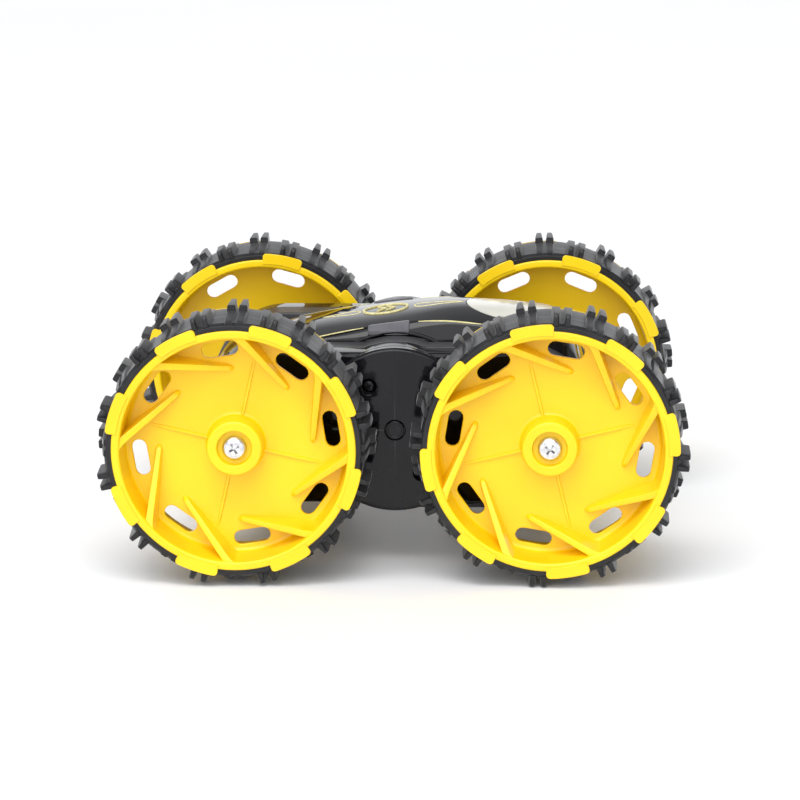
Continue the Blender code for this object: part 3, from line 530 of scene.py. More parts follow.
def slot_tool():
    """Cutter for the web slots: round ends, cut as short chords, and a small flare at each face."""
    half = (SLOT_LENGTH - SLOT_WIDTH) / 2
    levels = ((WEB_BACK - 4 * MM, SLOT_FLARE), (WEB_BACK, SLOT_FLARE),
              (WEB_BACK + SLOT_FLARE, 0.0), (WEB_FRONT - SLOT_FLARE, 0.0),
              (WEB_FRONT, SLOT_FLARE), (WEB_FRONT + 6 * MM, SLOT_FLARE))
    rings = []
    for height, grow in levels:
        radius = SLOT_WIDTH / 2 + grow
        ring = []
        for end, start in ((half, 0), (-half, 180)):
            for step in range(SLOT_CHORDS + 1):
                x, y = polar(radius, start + 180 * step / SLOT_CHORDS)
                ring.append((SLOT_CENTRE + x, end + y, height))
        rings.append(ring)
    slot = lofted("slot", rings)
    return joined("slots", [turned_copy(slot, 360 * k / BLADES) for k in range(BLADES)])


def blade(rim_angle, tip_angle):
    """Paddle blade: thin wall with a rounded top, sloping from the rim to a rounded tip."""
    rim_height = RIM_FRONT - 0.15 * MM
    start = Vector(polar((RIM_RADIUS + RIM_MOUTH) / 2, rim_angle))
    end = Vector(polar(BLADE_TIP_RADIUS, tip_angle))
    along = (end - start).normalized()
    across = Vector((-along.y, along.x))
    length = (end - start).length
    base = WEB_FRONT - 1.0 * MM
    rings = []
    for place in BLADE_STATIONS:
        top = rim_height + (WEB_FRONT + BLADE_TIP_RISE - rim_height) * place
        nose = max(0.0, (place - BLADE_NOSE) / (1.0 - BLADE_NOSE))
        narrow = math.sqrt(max(0.0, 1 - (0.93 * nose) ** 2))
        top -= BLADE_TIP_RISE * 0.8 * nose ** 2
        flare = 1 + 0.5 * max(0.0, 1 - place / BLADE_ROOT) ** 2
        half_top = BLADE_TOP / 2 * narrow * flare * (1.15 - 0.4 * place)
        half_base = BLADE_BASE / 2 * narrow * flare * (1.6 - 0.6 * place)
        middle = start + along * length * place
        soft = min(0.4 * MM, 0.45 * abs(top - base))
        ring = []
        for share, height in ((-half_base, base), (-half_top, top - soft),
                              (-half_top * 0.9, top - soft * 0.35), (-half_top * 0.62, top),
                              (half_top * 0.62, top), (half_top * 0.9, top - soft * 0.35),
                              (half_top, top - soft), (half_base, base)):
            point = middle + across * share
            ring.append((point.x, point.y, height))
        rings.append(ring)
    return lofted("blade", rings)


def clip(middle, low, high):
    """Tyre clip: a short arc with rounded corners standing out from the rim's edge."""
    half = CLIP_SPAN / 2
    straight = half - math.degrees(CLIP_CORNER / CLIP_RADIUS)
    plan = [polar(CLIP_INNER, middle - half + CLIP_SPAN * step / CLIP_STEPS)
            for step in range(CLIP_STEPS + 1)]
    for end, first in ((1, 90), (-1, 0)):
        centre = Vector(polar(CLIP_RADIUS - CLIP_CORNER, middle + end * straight))
        for step in range(7):
            x, y = polar(CLIP_CORNER, middle + end * half + first - 15 * step)
            plan.append((centre.x + x, centre.y + y))
        if end > 0:
            plan += [polar(CLIP_RADIUS, middle + straight * (1 - 2 * step / CLIP_STEPS))
                     for step in range(1, CLIP_STEPS)]
    middle_point = Vector(polar((CLIP_INNER + CLIP_RADIUS) / 2, middle))
    front, back = (high, low) if high > WEB_FRONT else (low, high)
    inward = CLIP_EDGE if back > front else -CLIP_EDGE
    rings = []
    for height, shrink in ((back, 0.0), (front + inward, 0.0), (front + inward * 0.3, 0.3),
                           (front, 1.0)):
        ring = []
        for x, y in plan:
            point = Vector((x, y))
            point += (middle_point - point).normalized() * CLIP_EDGE * shrink
            ring.append((point.x, point.y, height))
        rings.append(ring)
    return lofted("clip", rings)


def web_ridge(angle):
    """Thin straight ridge on the web from the boss outwards."""
    rings = []
    for radius, rise in RIDGE_LINE:
        ring = []
        for across, height in ((-RIDGE_FOOT, -0.3), (-RIDGE_TOP, rise), (RIDGE_TOP, rise),
                               (RIDGE_FOOT, -0.3)):
            x, y = polar(radius, angle)
            side_x, side_y = polar(across * MM, angle + 90)
            ring.append((x + side_x, y + side_y, WEB_FRONT + height * MM))
        rings.append(ring)
    return lofted("ridge", rings)


def rim_mesh():
    """Whole wheel moulding with its first slot on +X."""
    mesh = boolean(rim_ring(), slot_tool())
    additions = []
    for k in range(BLADES):
        turn = 360 * k / BLADES
        additions.append(blade(turn + BLADE_RIM_ANGLE, turn + BLADE_TIP_ANGLE))
        additions.append(clip(turn + CLIP_ANGLE, WHEEL_OUTER - CLIP_THICKNESS, WHEEL_OUTER))
        additions.append(clip(turn + INNER_CLIP_ANGLE, WHEEL_INNER,
                              WHEEL_INNER + CLIP_THICKNESS))
    mesh = boolean(mesh, joined("additions", additions), "UNION")
    ridges = [web_ridge(RIDGE_ANGLE + 360 * k / RIDGES) for k in range(RIDGES)]
    return smooth(boolean(mesh, joined("ridges", ridges), "UNION"))


def lug(middle, mirrored):
    """One tread lug: tall half at the outer edge, low ramp on the other; mirrored for inboard."""
    rings = []
    for place, top, half in LUG_SHAPE:
        height = TYRE_INNER + place * MM if mirrored else TYRE_OUTER - place * MM
        crest = top * MM
        ring = []
        for across, radius in ((-half - 0.3, LUG_ROOT), (-half, crest - LUG_EDGE),
                               (-half + 0.12, crest - LUG_EDGE * 0.3), (-half + 0.4, crest),
                               (half - 0.4, crest), (half - 0.12, crest - LUG_EDGE * 0.3),
                               (half, crest - LUG_EDGE), (half + 0.3, LUG_ROOT)):
            x, y = polar(radius, middle)
            side_x, side_y = polar(across * MM, middle + 90)
            ring.append((x + side_x, y + side_y, height))
        rings.append(ring)
    return lofted("lug", rings)


def tyre_mesh():
    """Tyre band with seam grooves and alternating pairs of lugs, the first pair inboard-tall."""
    middle = (TYRE_INNER + TYRE_OUTER) / 2
    outline = [(TYRE_BORE, TYRE_OUTER, 0), (TYRE_SHOULDER, TYRE_OUTER, 0.3 * MM),
               (TYRE_RADIUS - 0.25 * MM, TYRE_OUTER - 1.3 * MM, 0.8 * MM)]
    for offset in TYRE_GROOVES:
        groove = middle + offset * MM
        outline += [(TYRE_RADIUS, groove + 0.16 * MM, 0), (TYRE_RADIUS - 0.09 * MM, groove, 0),
                    (TYRE_RADIUS, groove - 0.16 * MM, 0)]
    outline += [(TYRE_RADIUS - 0.25 * MM, TYRE_INNER + 1.3 * MM, 0.8 * MM),
                (TYRE_SHOULDER, TYRE_INNER, 0.3 * MM), (TYRE_BORE, TYRE_INNER, 0)]
    meshes = [spun("band", rounded(outline), WHEEL_STEPS)]
    for k in range(LUG_PAIRS):
        for step in (-LUG_STEP / 2, LUG_STEP / 2):
            meshes.append(lug(k * 360 / LUG_PAIRS + step, k % 2 == 0))
    return smooth(joined("tyre", meshes))


def cross_recess(size, width, low, high):
    """Cutters for a cross recess: two tapering bars."""
    bars = []
    for turn in (0, 90):
        rings = []
        for height, share in ((low, 0.45), (high, 1.0)):
            half, side = size * share, width / 2 * (0.6 + 0.4 * share)
            rings.append([(-half, -side, height), (half, -side, height), (half, side, height),
                          (-half, side, height)])
        bars.append(turned_copy(lofted("bar", rings), turn + 20))
    return bars


def screw_mesh(sizes, seat, end):
    """Pan-head screw with a cross recess, along Z; sizes are one of the screws above."""
    radius, rise, shank = sizes
    outline = [(0, end, 0), (shank, end, 0.2 * MM), (shank, seat, 0), (radius, seat, 0.2 * MM),
               (radius, seat + rise * 0.45, 0.5 * MM), (radius * 0.8, seat + rise * 0.88, 1 * MM),
               (radius * 0.4, seat + rise, 1 * MM), (0, seat + rise, 0)]
    mesh = spun("screw", rounded(outline), 48)
    for bar in cross_recess(radius * 0.5, radius * 0.2, seat + rise * 0.15,
                            seat + rise + 0.3 * MM):
        mesh = boolean(mesh, bar)
    return smooth(mesh, 30)


def make_wheels():
    """Rim, tyre and screw of each wheel, riding on the wheel's body."""
    rim = rim_mesh()
    tyre = tyre_mesh()
    screw = screw_mesh(WHEEL_SCREW, RECESS_FLOOR + 0.2 * MM, 70 * MM)
    for name, (side, sign, slot_turn, lug_turn) in WHEELS.items():
        body = name + "_wheel"
        place = (sign * HALF_BASE, 0.0)
        for part, mesh, turn, slot in (("rim", rim, slot_turn, "yellow_plastic"),
                                       ("tyre", tyre, lug_turn, "tyre_rubber"),
                                       ("wheel_screw", screw, slot_turn, "steel")):
            copy = mesh.copy()
            copy.transform(side_matrix(side, place, turn))
            piece = add_object(f"{name}_{part}_detail", copy, PAINT[slot])
            finish_piece(piece, body, slot, f"{name}_{part}")


# Gearboxes ----------------------------------------------------------------------------------

def pod_plan(inset):
    """Rounded box with the round pod standing out above and below its middle."""
    disc = POD_RADIUS - inset
    height = ARM_HEIGHT - inset
    length = ARM_LENGTH - inset
    corner = ARM_CORNER - inset
    meet = math.degrees(math.asin(height / disc))
    points = []
    for turn in (0, 180):
        sign = 1 if turn == 0 else -1
        for step in range(25):
            points.append(polar(disc, turn + meet + (180 - 2 * meet) * step / 24))
        for centre_y, start in ((1, 90), (-1, 180)):
            centre = (-sign * (length - corner), centre_y * sign * (height - corner))
            for step in range(17):
                x, y = polar(corner, turn + start + 90 * step / 16)
                points.append((centre[0] + x, centre[1] + y))
    return points


def plan_solid(name, levels):
    """Stack of pod plans, from (height, inset) levels."""
    return lofted(name, [[(x, y, height) for x, y in pod_plan(inset)]
                         for height, inset in levels])


def disc_and_snout_meshes():
    """The cover's round face and a tapering snout round each axle."""
    disc_edge = POD_RADIUS - 0.05 * MM
    meshes = [spun("disc", rounded([
        (0, ARM_FACE - POD_BURY, 0), (disc_edge, ARM_FACE - POD_BURY, 0),
        (disc_edge, POD_FACE - 0.9 * MM, 0.9 * MM), (POD_RADIUS - 0.9 * MM, POD_FACE, 0.9 * MM),
        (0, POD_FACE, 0)], 5), 160)]
    for end in (-HALF_BASE, HALF_BASE):
        meshes.append(spun("snout", rounded([
            (0, ARM_FACE - POD_BURY, 0), (9.4 * MM, ARM_FACE - POD_BURY, 0),
            (9.0 * MM, ARM_FACE + 1.2 * MM, 1.2 * MM), (7.2 * MM, SNOUT_END, 0.8 * MM),
            (0, SNOUT_END, 0)], 4), 64, (end, 0.0)))
    return meshes


def screw_places():
    """Two screws in the round face and two in the arms, in the order of their numbers."""
    x, y = DISC_SCREW_PLACE
    u, v = ARM_SCREW_PLACE
    return [(-x, y), (x, -y), (u, v), (-u, -v)]


def drill(mesh, radius, low, high, place, lip=0.25 * MM):
    """Round hole with a slightly flared mouth at its high end."""
    tool = spun("drill", [(0, low), (radius, low), (radius, high - lip), (radius + lip, high),
                          (radius + lip, high + 1 * MM), (0, high + 1 * MM)], 48, place)
    return boolean(mesh, tool)


def cover_mesh():
    """Outboard half of the gearbox: box, round pod and a snout round each axle."""
    low = POD_LOW_EDGE
    mesh = plan_solid("cover", ((low, CASE_EDGE), (low + CASE_EDGE, 0.0),
                                (ARM_FACE - 1.6 * MM, 0.0), (ARM_FACE - 0.75 * MM, 0.25 * MM),
                                (ARM_FACE - 0.2 * MM, 0.8 * MM), (ARM_FACE, 1.6 * MM)))
    ceiling = ARM_FACE - CASE_WALL
    mesh = boolean(mesh, plan_solid("pocket", ((low - 1 * MM, CASE_WALL), (ceiling, CASE_WALL))))
    for part in disc_and_snout_meshes():
        mesh = boolean(mesh, part, "UNION")
    for place in screw_places():
        on_disc = math.hypot(*place) < POD_RADIUS
        face = POD_FACE if on_disc else ARM_FACE
        mesh = drill(mesh, (2.8 if on_disc else 3.5) * MM, face - (3.2 if on_disc else 0.7) * MM,
                     face, place)
        mesh = drill(mesh, SCREW_BORE, ceiling - 1 * MM, POD_FACE, place)
    for end in (-HALF_BASE, HALF_BASE):
        mesh = drill(mesh, SNOUT_BORE, ceiling - 1 * MM, SNOUT_END, (end, 0.0))
    return smooth(drill(mesh, PLUG_RADIUS + 0.3 * MM, POD_FACE - 2 * MM, POD_FACE, (0.0, 0.0)), 30)


def side_centre(node):
    """Centre of a right-hand node in the side's frame."""
    low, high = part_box(node)
    return ((low.x + high.x) / 2, (low.z + high.z) / 2 - AXLE_HEIGHT)


def housing_mesh():
    """Inboard half of the gearbox with its pins and posts."""
    floor = POD_INNER + CASE_WALL
    mesh = plan_solid("housing", ((POD_INNER, 0.8 * MM), (POD_INNER + 0.25 * MM, 0.25 * MM),
                                  (POD_INNER + 0.8 * MM, 0.0), (POD_SPLIT - CASE_EDGE, 0.0),
                                  (POD_SPLIT, CASE_EDGE)))
    mesh = boolean(mesh, plan_solid("pocket", ((floor, CASE_WALL),
                                               (POD_SPLIT + 1 * MM, CASE_WALL))))
    pin_end = ARM_FACE - CASE_WALL - 0.3 * MM
    idler_x = side_centre("right_front_idler_gear")[0]
    posts = [((0.0, 0.0), PIN_RADIUS, pin_end), ((idler_x, 0.0), PIN_RADIUS, pin_end),
             ((-idler_x, 0.0), PIN_RADIUS, pin_end),
             (side_centre("right_compound_gear"), PIN_RADIUS, 37 * MM)]
    posts += [(place, POST_RADIUS, pin_end) for place in screw_places()]
    for place, radius, end in posts:
        post = spun("post", [(0, floor - POD_BURY), (radius, floor - POD_BURY),
                             (radius, end - 0.2 * MM), (radius - 0.2 * MM, end), (0, end)],
                    24, place)
        mesh = boolean(mesh, post, "UNION")
    for place in screw_places():
        mesh = drill(mesh, SCREW_BORE, POD_SPLIT - 4 * MM, pin_end, place, 0.1 * MM)
    for place, radius in (((HALF_BASE, 0.0), AXLE_BORE), ((-HALF_BASE, 0.0), AXLE_BORE),
                          (side_centre("right_motor"), MOTOR_BORE)):
        mesh = drill(mesh, radius, POD_INNER - 1 * MM, floor + 1 * MM, place)
    return smooth(mesh, 30)


def plug_mesh():
    """Shallow round plug with a ring groove in the middle of the pod."""
    return smooth(spun("plug", rounded([
        (0, POD_FACE - PLUG_DEPTH, 0), (PLUG_RADIUS, POD_FACE - PLUG_DEPTH, 0),
        (PLUG_RADIUS, POD_FACE + 0.15 * MM, 0.3 * MM), (2.45 * MM, POD_FACE + 0.15 * MM, 0.2 * MM),
        (2.3 * MM, POD_FACE + 0.05 * MM, 0.1 * MM), (0, POD_FACE + 0.05 * MM, 0)], 4), 64), 30)


def make_gearboxes():
    """Cover, housing, plug and screws of both sides."""
    cover = cover_mesh()
    housing = housing_mesh()
    plug = plug_mesh()
    disc_screw = screw_mesh(DISC_SCREW, POD_FACE - 2.9 * MM, 35 * MM)
    arm_screw = screw_mesh(ARM_SCREW, ARM_FACE - 0.4 * MM, 35 * MM)
    for side in ("right", "left"):
        pieces = [("gearbox_cover", cover, (0.0, 0.0), "gloss_black"),
                  ("gearbox_housing", housing, (0.0, 0.0), "black_plastic"),
                  ("pod_plug", plug, (0.0, 0.0), "gloss_black")]
        for number, place in enumerate(screw_places(), 1):
            screw = disc_screw if math.hypot(*place) < POD_RADIUS else arm_screw
            pieces.append((f"gearbox_screw_{number}", screw, place, "dark_steel"))
        for part, mesh, place, slot in pieces:
            copy = mesh.copy()
            copy.transform(side_matrix(side, place))
            piece = add_object(f"{side}_{part}_detail", copy, PAINT[slot])
            finish_piece(piece, "chassis", slot, f"{side}_{part}")


# Body ---------------------------------------------------------------------------------------

def roof_height(place, across):
    """Height of the roof above the axles at a place along and across the car, in metres."""
    crown = eased(ROOF_LINE, place / MM) * MM
    drop = eased(SHOULDER_DROP, place / MM) * MM
    width = eased(SHOULDER_WIDTH, place / MM) * MM
    return crown - drop * min(1.0, abs(across) / width) ** 2


def half_section(place, offset, up):
    """Points over one half of the body at one station, from its crown to the parting line."""
    crown = eased(ROOF_LINE, place) * MM
    drop = eased(SHOULDER_DROP, place) * MM
    width = eased(SHOULDER_WIDTH, place) * MM
    points = [(share * width, crown - drop * share ** 2 + offset)
              for share in ROOF_SHARES]
    shoulder = Vector((width + 0.3 * offset, crown - drop + 0.8 * offset))
    side_top = min(crown - drop - 2 * MM, 27 * MM)
    half = min(BODY_HALF, width + 3.4 * MM) + offset
    wall = Vector((half, side_top))
    low = Vector((half, PARTING_GAP))
    reach = min(0.35 * MM, 0.2 * (wall - shoulder).length)
    points.append(tuple(shoulder + (wall - shoulder).normalized() * reach))
    for share in FLANK_SHARES:
        bulge = 0.25 * MM * math.sin(math.pi * share)
        point = shoulder.lerp(wall, share)
        points.append((point.x + bulge, point.y + bulge * 0.5))
    for share in WALL_SHARES:
        points.append(tuple(wall.lerp(low, share)))
    points.append((half - 0.2 * MM, PARTING_GAP))
    return [(y, up * z) for y, z in points]


def body_stations():
    """Places along the car in millimetres, closer together at the ends."""
    stations = [BODY_START, BODY_START + BODY_EDGE]
    place = BODY_START + 1.0
    while place < BODY_END - 1.0:
        stations.append(place)
        place += 1.0 if abs(place) > 58 else 2.0
    return stations + [BODY_END - BODY_EDGE, BODY_END]


def body_skin(name, offset, thickness, up):
    """Half of the body as a shell: up = 1 is the upper half and -1 the lower half."""
    bm = bmesh.new()
    rows = []
    stations = body_stations()
    for place in stations:
        inset = BODY_EDGE * MM if place in (stations[0], stations[-1]) else 0.0
        half = half_section(place, offset - inset, up)
        whole = [(-y, z) for y, z in reversed(half[1:])] + half
        rows.append([bm.verts.new((place * MM, y, z)) for y, z in whole])
    for row, after in zip(rows, rows[1:]):
        for k in range(len(row) - 1):
            bm.faces.new((row[k], row[k + 1], after[k + 1], after[k]))
    for row in (rows[0], rows[-1]):
        bm.faces.new(row)
    bmesh.ops.recalc_face_normals(bm, faces=bm.faces)
    top = max(bm.faces, key=lambda face: face.calc_center_median().z * up)
    if top.normal.z * up < 0:
        bmesh.ops.reverse_faces(bm, faces=bm.faces)
    obj = add_object(name, mesh_from(bm, name))
    wall = obj.modifiers.new("wall", "SOLIDIFY")
    wall.thickness = thickness
    wall.offset = -1.0
    wall.use_even_offset = True
    return applied(obj)


def screen_outline(inset, steps=40):
    """Round-nosed outline of the windscreen."""
    low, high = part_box("windscreen")
    start, end = low.x - 0.3 * MM + inset, high.x + 0.3 * MM - inset
    half = high.y + 0.3 * MM - inset
    length = 0.6 * (end - start)
    points = []
    for k in range(steps + 1):
        turn = math.radians(90 + 180 * k / steps)
        points.append((start + length * (1 + math.cos(turn)), half * math.sin(turn)))
    return points + [(end, -0.9 * half), (end, 0.9 * half)]


def prism(name, outline, low, high):
    """Upright solid over an outline."""
    return lofted(name, [[(x, y, low) for x, y in outline], [(x, y, high) for x, y in outline]])


def plate(name, size, centre, corner, edge):
    """Block with rounded corners and edges; size and centre are (x, y, z)."""
    half_x, half_y, half_z = (side / 2 for side in size)
    rings = []
    for height, inset in ((-half_z, edge), (-half_z + 0.3 * edge, 0.3 * edge),
                          (-half_z + edge, 0.0), (half_z - edge, 0.0),
                          (half_z - 0.3 * edge, 0.3 * edge), (half_z, edge)):
        x, y = half_x - inset, half_y - inset
        plan = rounded([(x, y, corner), (-x, y, corner), (-x, -y, corner), (x, -y, corner)], 5)
        rings.append([(px + centre[0], py + centre[1], height + centre[2]) for px, py in plan])
    return lofted(name, rings)


def ribbon(name, points, width, closed=False, offset=0.12 * MM):
    """Thin printed line lying on the roof through (x, y) points, with a width for each."""
    count = len(points)
    rings = []
    for k, (x, y) in enumerate(points):
        before = Vector(points[k - 1] if closed or k > 0 else points[k])
        after = Vector(points[(k + 1) % count] if closed or k < count - 1 else points[k])
        along = (after - before).normalized()
        across = Vector((-along.y, along.x)) * width[k] / 2
        ring = []
        for side, rise in ((-1, -0.3 * MM), (1, -0.3 * MM), (1, 0.0), (0.7, offset),
                           (-0.7, offset), (-1, 0.0)):
            px, py = x + across.x * side, y + across.y * side
            ring.append((px, py, roof_height(px, py) + rise))
        rings.append(ring)
    if closed:
        rings.append(rings[0])
    mesh = lofted(name, rings, not closed)
    bm = bmesh.new()
    bm.from_mesh(mesh)
    bmesh.ops.remove_doubles(bm, verts=bm.verts, dist=0.000001)
    bmesh.ops.recalc_face_normals(bm, faces=bm.faces)
    bm.to_mesh(mesh)
    bm.free()
    return mesh


def teardrop(start, end, half):
    """Points round a stripe that is wide and round at its start and thin at its end."""
    sign = 1 if end > start else -1
    points = []
    for k in range(11):
        turn = math.radians(90 + 18 * k)
        points.append((start + sign * half * (1 + math.cos(turn)), half * math.sin(turn)))
    edge = []
    for k in range(1, 9):
        share = k / 9
        edge.append((start + sign * (half + (abs(end - start) - half) * share),
                     half - (half - 0.35 * MM) * share))
    points += [(x, -y) for x, y in edge]
    return points + [(end, 0.0)] + edge[::-1]


def place_piece(name, mesh, slot, body, *nodes, paint=None):
    """Lifts a body mesh from axle height to its place and attaches it to its body."""
    mesh.transform(Matrix.Translation((0, 0, AXLE_HEIGHT)))
    piece = add_object(name, smooth(mesh), PAINT[paint or slot])
    return finish_piece(piece, body, slot, *nodes)


def roof_marks():
    """Printed ring with a plain arrow mark, and the two stripes on the roof's middle line."""
    ring = [polar(BADGE_RADIUS - BADGE_LINE / 2, 360 * k / BADGE_STEPS)
            for k in range(BADGE_STEPS)]
    ring = [(BADGE_PLACE + x, y) for x, y in ring]
    meshes = [ribbon("ring", ring, [BADGE_LINE] * len(ring), True, BADGE_RISE)]
    for shift in ARROW_SHIFTS:
        arrow = [(BADGE_PLACE + (shift + 2.6 - abs(y) * 0.75) * MM, y * MM)
                 for y in ARROW_PLACES]
        meshes.append(ribbon("arrow", arrow, [BADGE_LINE] * len(arrow), False, BADGE_RISE))
    place_piece("roof_badge_detail", joined("badge", meshes), "pale_yellow", "chassis",
                "roof_badge")
    for name, start, end, half in STRIPES:
        points = teardrop(start * MM, end * MM, half * MM)
        mesh = ribbon(name, points, [STRIPE_LINE] * len(points), True)
        place_piece(name, mesh, "pale_yellow", "chassis")


def shoulder_line(start, end, sign):
    """Pale line along one shoulder, thinner at both ends."""
    points, widths = [], []
    for k in range(SHOULDER_STEPS + 1):
        place = start + (end - start) * k / SHOULDER_STEPS
        points.append((place * MM, sign * (eased(SHOULDER_WIDTH, place) - 0.25) * MM))
        taper = min(1.0, 4 * k / SHOULDER_STEPS, 4 * (SHOULDER_STEPS - k) / SHOULDER_STEPS)
        widths.append((0.22 + 0.38 * taper) * MM)
    return ribbon("line", points, widths, False, 0.08 * MM)


def latch_mesh(sign):
    """Block that grips the body's shoulder."""
    rings = []
    for place, inset in LATCH_STATIONS:
        width = eased(SHOULDER_WIDTH, place)
        top = eased(ROOF_LINE, place) - eased(SHOULDER_DROP, place) + 0.55 - inset
        ring = [(width - 2.0, 28.0), (width - 1.2, top), (width + 0.5 - inset, top + 0.1),
                (width + 1.3 - inset, top - 0.4), (LATCH_FACE - inset, 30.6),
                (LATCH_FACE - inset, 29.4), (26.0, 29.1)]
        rings.append([(place * MM, sign * y * MM, z * MM) for y, z in ring])
    return lofted("latch", rings)


def arch_lip_mesh(sign):
    """Raised lip of the body over a round pod."""
    rings = []
    for k in range(LIP_STEPS + 1):
        turn = LIP_START + LIP_SPAN * k / LIP_STEPS
        ring = []
        for radius, depth in LIP_SECTION:
            x, z = polar(radius * MM, turn)
            ring.append((x, sign * depth * MM, z))
        rings.append(ring)
    return lofted("lip", rings)


def side_trims():
    """Shoulder lines, latch block and arch lip of both sides."""
    for side, sign in (("right", -1), ("left", 1)):
        lines = [shoulder_line(start, end, sign) for start, end in SHOULDER_LINES]
        place_piece(f"{side}_shoulder_line", joined("lines", lines), "pale_yellow", "chassis")
        # The latch takes a paler copy of the satin black, a painted highlight standing in for light from above
        place_piece(f"{side}_latch", latch_mesh(sign), "black_plastic", "chassis",
                    paint="latch_painted_light")
    for side, sign in (("right", -1), ("left", 1)):
        place_piece(f"{side}_arch_lip", arch_lip_mesh(sign), "gloss_black", "chassis")


def make_body():
    """Both shells, the windscreen, the marks, the trims and the belly pieces."""
    upper = body_skin("upper", 0.0, CASE_WALL, 1)
    upper = boolean(upper, prism("opening", screen_outline(0.0), *SCREEN_CUT))
    place_piece("upper_shell_detail", upper, "gloss_black", "chassis", "upper_shell")
    screen = body_skin("screen", SCREEN_RISE, CASE_WALL * 0.8, 1)
    screen = boolean(screen, prism("patch", screen_outline(SCREEN_GAP), *SCREEN_CUT),
                     "INTERSECT")
    screen = bevelled(screen, 0.3 * MM, 2, 50)
    place_piece("windscreen_detail", screen, "silver_plastic", "chassis", "windscreen")
    lower = body_skin("lower", 0.0, CASE_WALL, -1)
    door_low, door_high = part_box("battery_door")
    size = door_high - door_low
    hole = plate("hole", (size.x + 0.7 * MM, size.y + 0.7 * MM, 16 * MM),
                 ((door_low.x + door_high.x) / 2, 0.0, -35 * MM), 1.6 * MM, 0.3 * MM)
    lower = boolean(lower, hole)
    switch_low, switch_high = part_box("power_switch")
    slot = plate("slot", (10.2 * MM, switch_high.y - switch_low.y + 0.9 * MM, 14 * MM),
                 ((switch_low.x + switch_high.x) / 2 + 2 * MM, 0.0, -32.4 * MM), 1 * MM,
                 0.2 * MM)
    lower = boolean(lower, slot)
    place_piece("lower_shell_detail", lower, "gloss_black", "chassis", "lower_shell")
    roof_marks()
    side_trims()
    make_belly(door_low, door_high, switch_low, switch_high)


def make_belly(door_low, door_high, switch_low, switch_high):
    """Battery door with grip ribs and its screw, and the power switch knob."""
    size = door_high - door_low
    centre = (door_low + door_high) / 2
    level = centre.z - AXLE_HEIGHT
    door = plate("door", size, (centre.x, 0.0, level), 1.4 * MM, 0.5 * MM)
    screw_low, screw_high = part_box("battery_door_screw")
    screw_x = (screw_low.x + screw_high.x) / 2
    face = level - size.z / 2
    for k in range(5):
        groove = plate("groove", (0.7 * MM, 16 * MM, 1 * MM),
                       (centre.x + (11 + 1.8 * k) * MM, 0.0, face), 0.3 * MM, 0.2 * MM)
        door = boolean(door, groove)
    hole = spun("hole", [(0, face - 2 * MM), (2.4 * MM, face - 2 * MM), (2.4 * MM, face + 4 * MM),
                         (0, face + 4 * MM)], 40, (screw_x, 0.0))
    door = boolean(door, hole)
    place_piece("battery_door_detail", door, "black_plastic", "chassis", "battery_door")
    screw = screw_mesh(DOOR_SCREW, 0.0, -0.6 * MM)
    screw.transform(Matrix.Translation((screw_x, 0.0, face + 1.7 * MM))
                    @ Matrix.Rotation(math.pi, 4, "X"))
    place_piece("battery_door_screw_detail", screw, "steel", "chassis", "battery_door_screw")
    size = switch_high - switch_low
    centre = (switch_low + switch_high) / 2
    knob = plate("knob", size, (centre.x, 0.0, centre.z - AXLE_HEIGHT), 0.6 * MM, 0.35 * MM)
    end = switch_low.z - AXLE_HEIGHT
    for k in (-1, 0, 1):
        groove = plate("groove", (0.5 * MM, 5 * MM, 0.8 * MM), (centre.x + k * 1.2 * MM, 0.0, end),
                       0.1 * MM, 0.1 * MM)
        knob = boolean(knob, groove)
    place_piece("power_switch_detail", knob, "black_plastic", "power_slider", "power_switch")


# Stage --------------------------------------------------------------------------------------

def make_floor():
    """Wide pale floor."""
    bm = bmesh.new()
    bmesh.ops.create_grid(bm, x_segments=2, y_segments=2, size=6.0)
    floor = add_object("floor", mesh_from(bm, "floor"))
    floor.data.materials.append(surface("floor", (0.94, 0.94, 0.94), (0.96, 0.96, 0.96),
                                        (4.0, 2.0), 0.35))


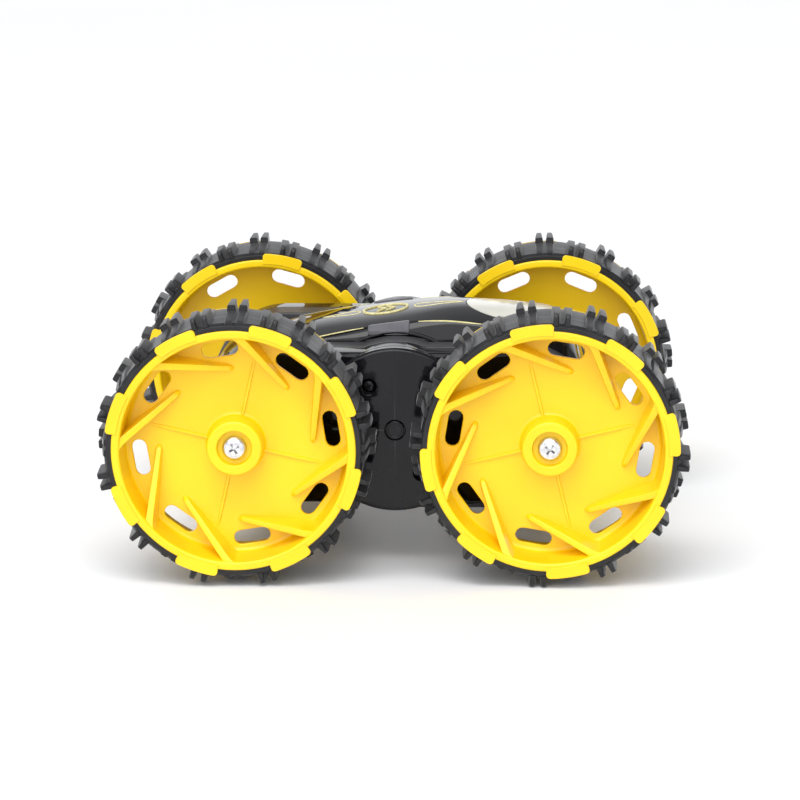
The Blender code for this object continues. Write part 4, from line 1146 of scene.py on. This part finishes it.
def area_light(name, place, aim, size, power):
    light = bpy.data.lights.new(name, "AREA")
    light.shape = "RECTANGLE"
    light.size, light.size_y = size
    light.energy = power
    lamp = bpy.data.objects.new(name, light)
    bpy.context.scene.collection.objects.link(lamp)
    lamp.visible_camera = False
    lamp.location = place
    direction = Vector(aim) - Vector(place)
    lamp.rotation_euler = direction.to_track_quat("-Z", "Y").to_euler()


def make_studio():
    """White surround that dims above the horizon, a broad overhead light and a soft box."""
    world = bpy.data.worlds.new("studio")
    world.use_nodes = True
    tree = world.node_tree
    surround = tree.nodes["Background"]
    surround.inputs["Color"].default_value = (0.97, 0.98, 1.0, 1.0)
    coords = tree.nodes.new("ShaderNodeTexCoord")
    split = tree.nodes.new("ShaderNodeSeparateXYZ")
    fade = tree.nodes.new("ShaderNodeMapRange")
    for socket, value in (("From Min", 0.20), ("From Max", 0.36), ("To Min", 1.4),
                          ("To Max", 0.42)):
        fade.inputs[socket].default_value = value
    tree.links.new(coords.outputs["Generated"], split.inputs["Vector"])
    tree.links.new(split.outputs["Z"], fade.inputs["Value"])
    tree.links.new(fade.outputs["Result"], surround.inputs["Strength"])
    bpy.context.scene.world = world
    overhead = bpy.data.lights.new("overhead", "SUN")
    overhead.energy = 2.3
    overhead.angle = math.radians(70)
    lamp = bpy.data.objects.new("overhead", overhead)
    bpy.context.scene.collection.objects.link(lamp)
    lamp.rotation_euler = (math.radians(42), math.radians(-10), 0.0)
    area_light("softbox", (-0.15, -0.6, 1.1), (0.0, 0.0, 0.04), (0.8, 0.35), 5.0)


def make_camera():
    camera = bpy.data.cameras.new("camera")
    camera.lens = CAMERA_LENS
    camera.sensor_width = 36.0
    eye = bpy.data.objects.new("camera", camera)
    bpy.context.scene.collection.objects.link(eye)
    yaw, pitch, roll = (math.radians(turn) for turn in (CAMERA_YAW, CAMERA_PITCH, CAMERA_ROLL))
    eye.matrix_world = (Matrix.Translation(CAMERA_PLACE)
                        @ Matrix.Rotation(yaw, 4, "Z")
                        @ Matrix.Rotation(math.pi / 2 + pitch, 4, "X")
                        @ Matrix.Rotation(roll, 4, "Z"))
    bpy.context.scene.camera = eye
    bpy.context.scene.view_settings.view_transform = "Standard"


dress_cad_nodes()
make_wheels()
make_gearboxes()
make_body()
make_floor()
make_studio()
make_camera()
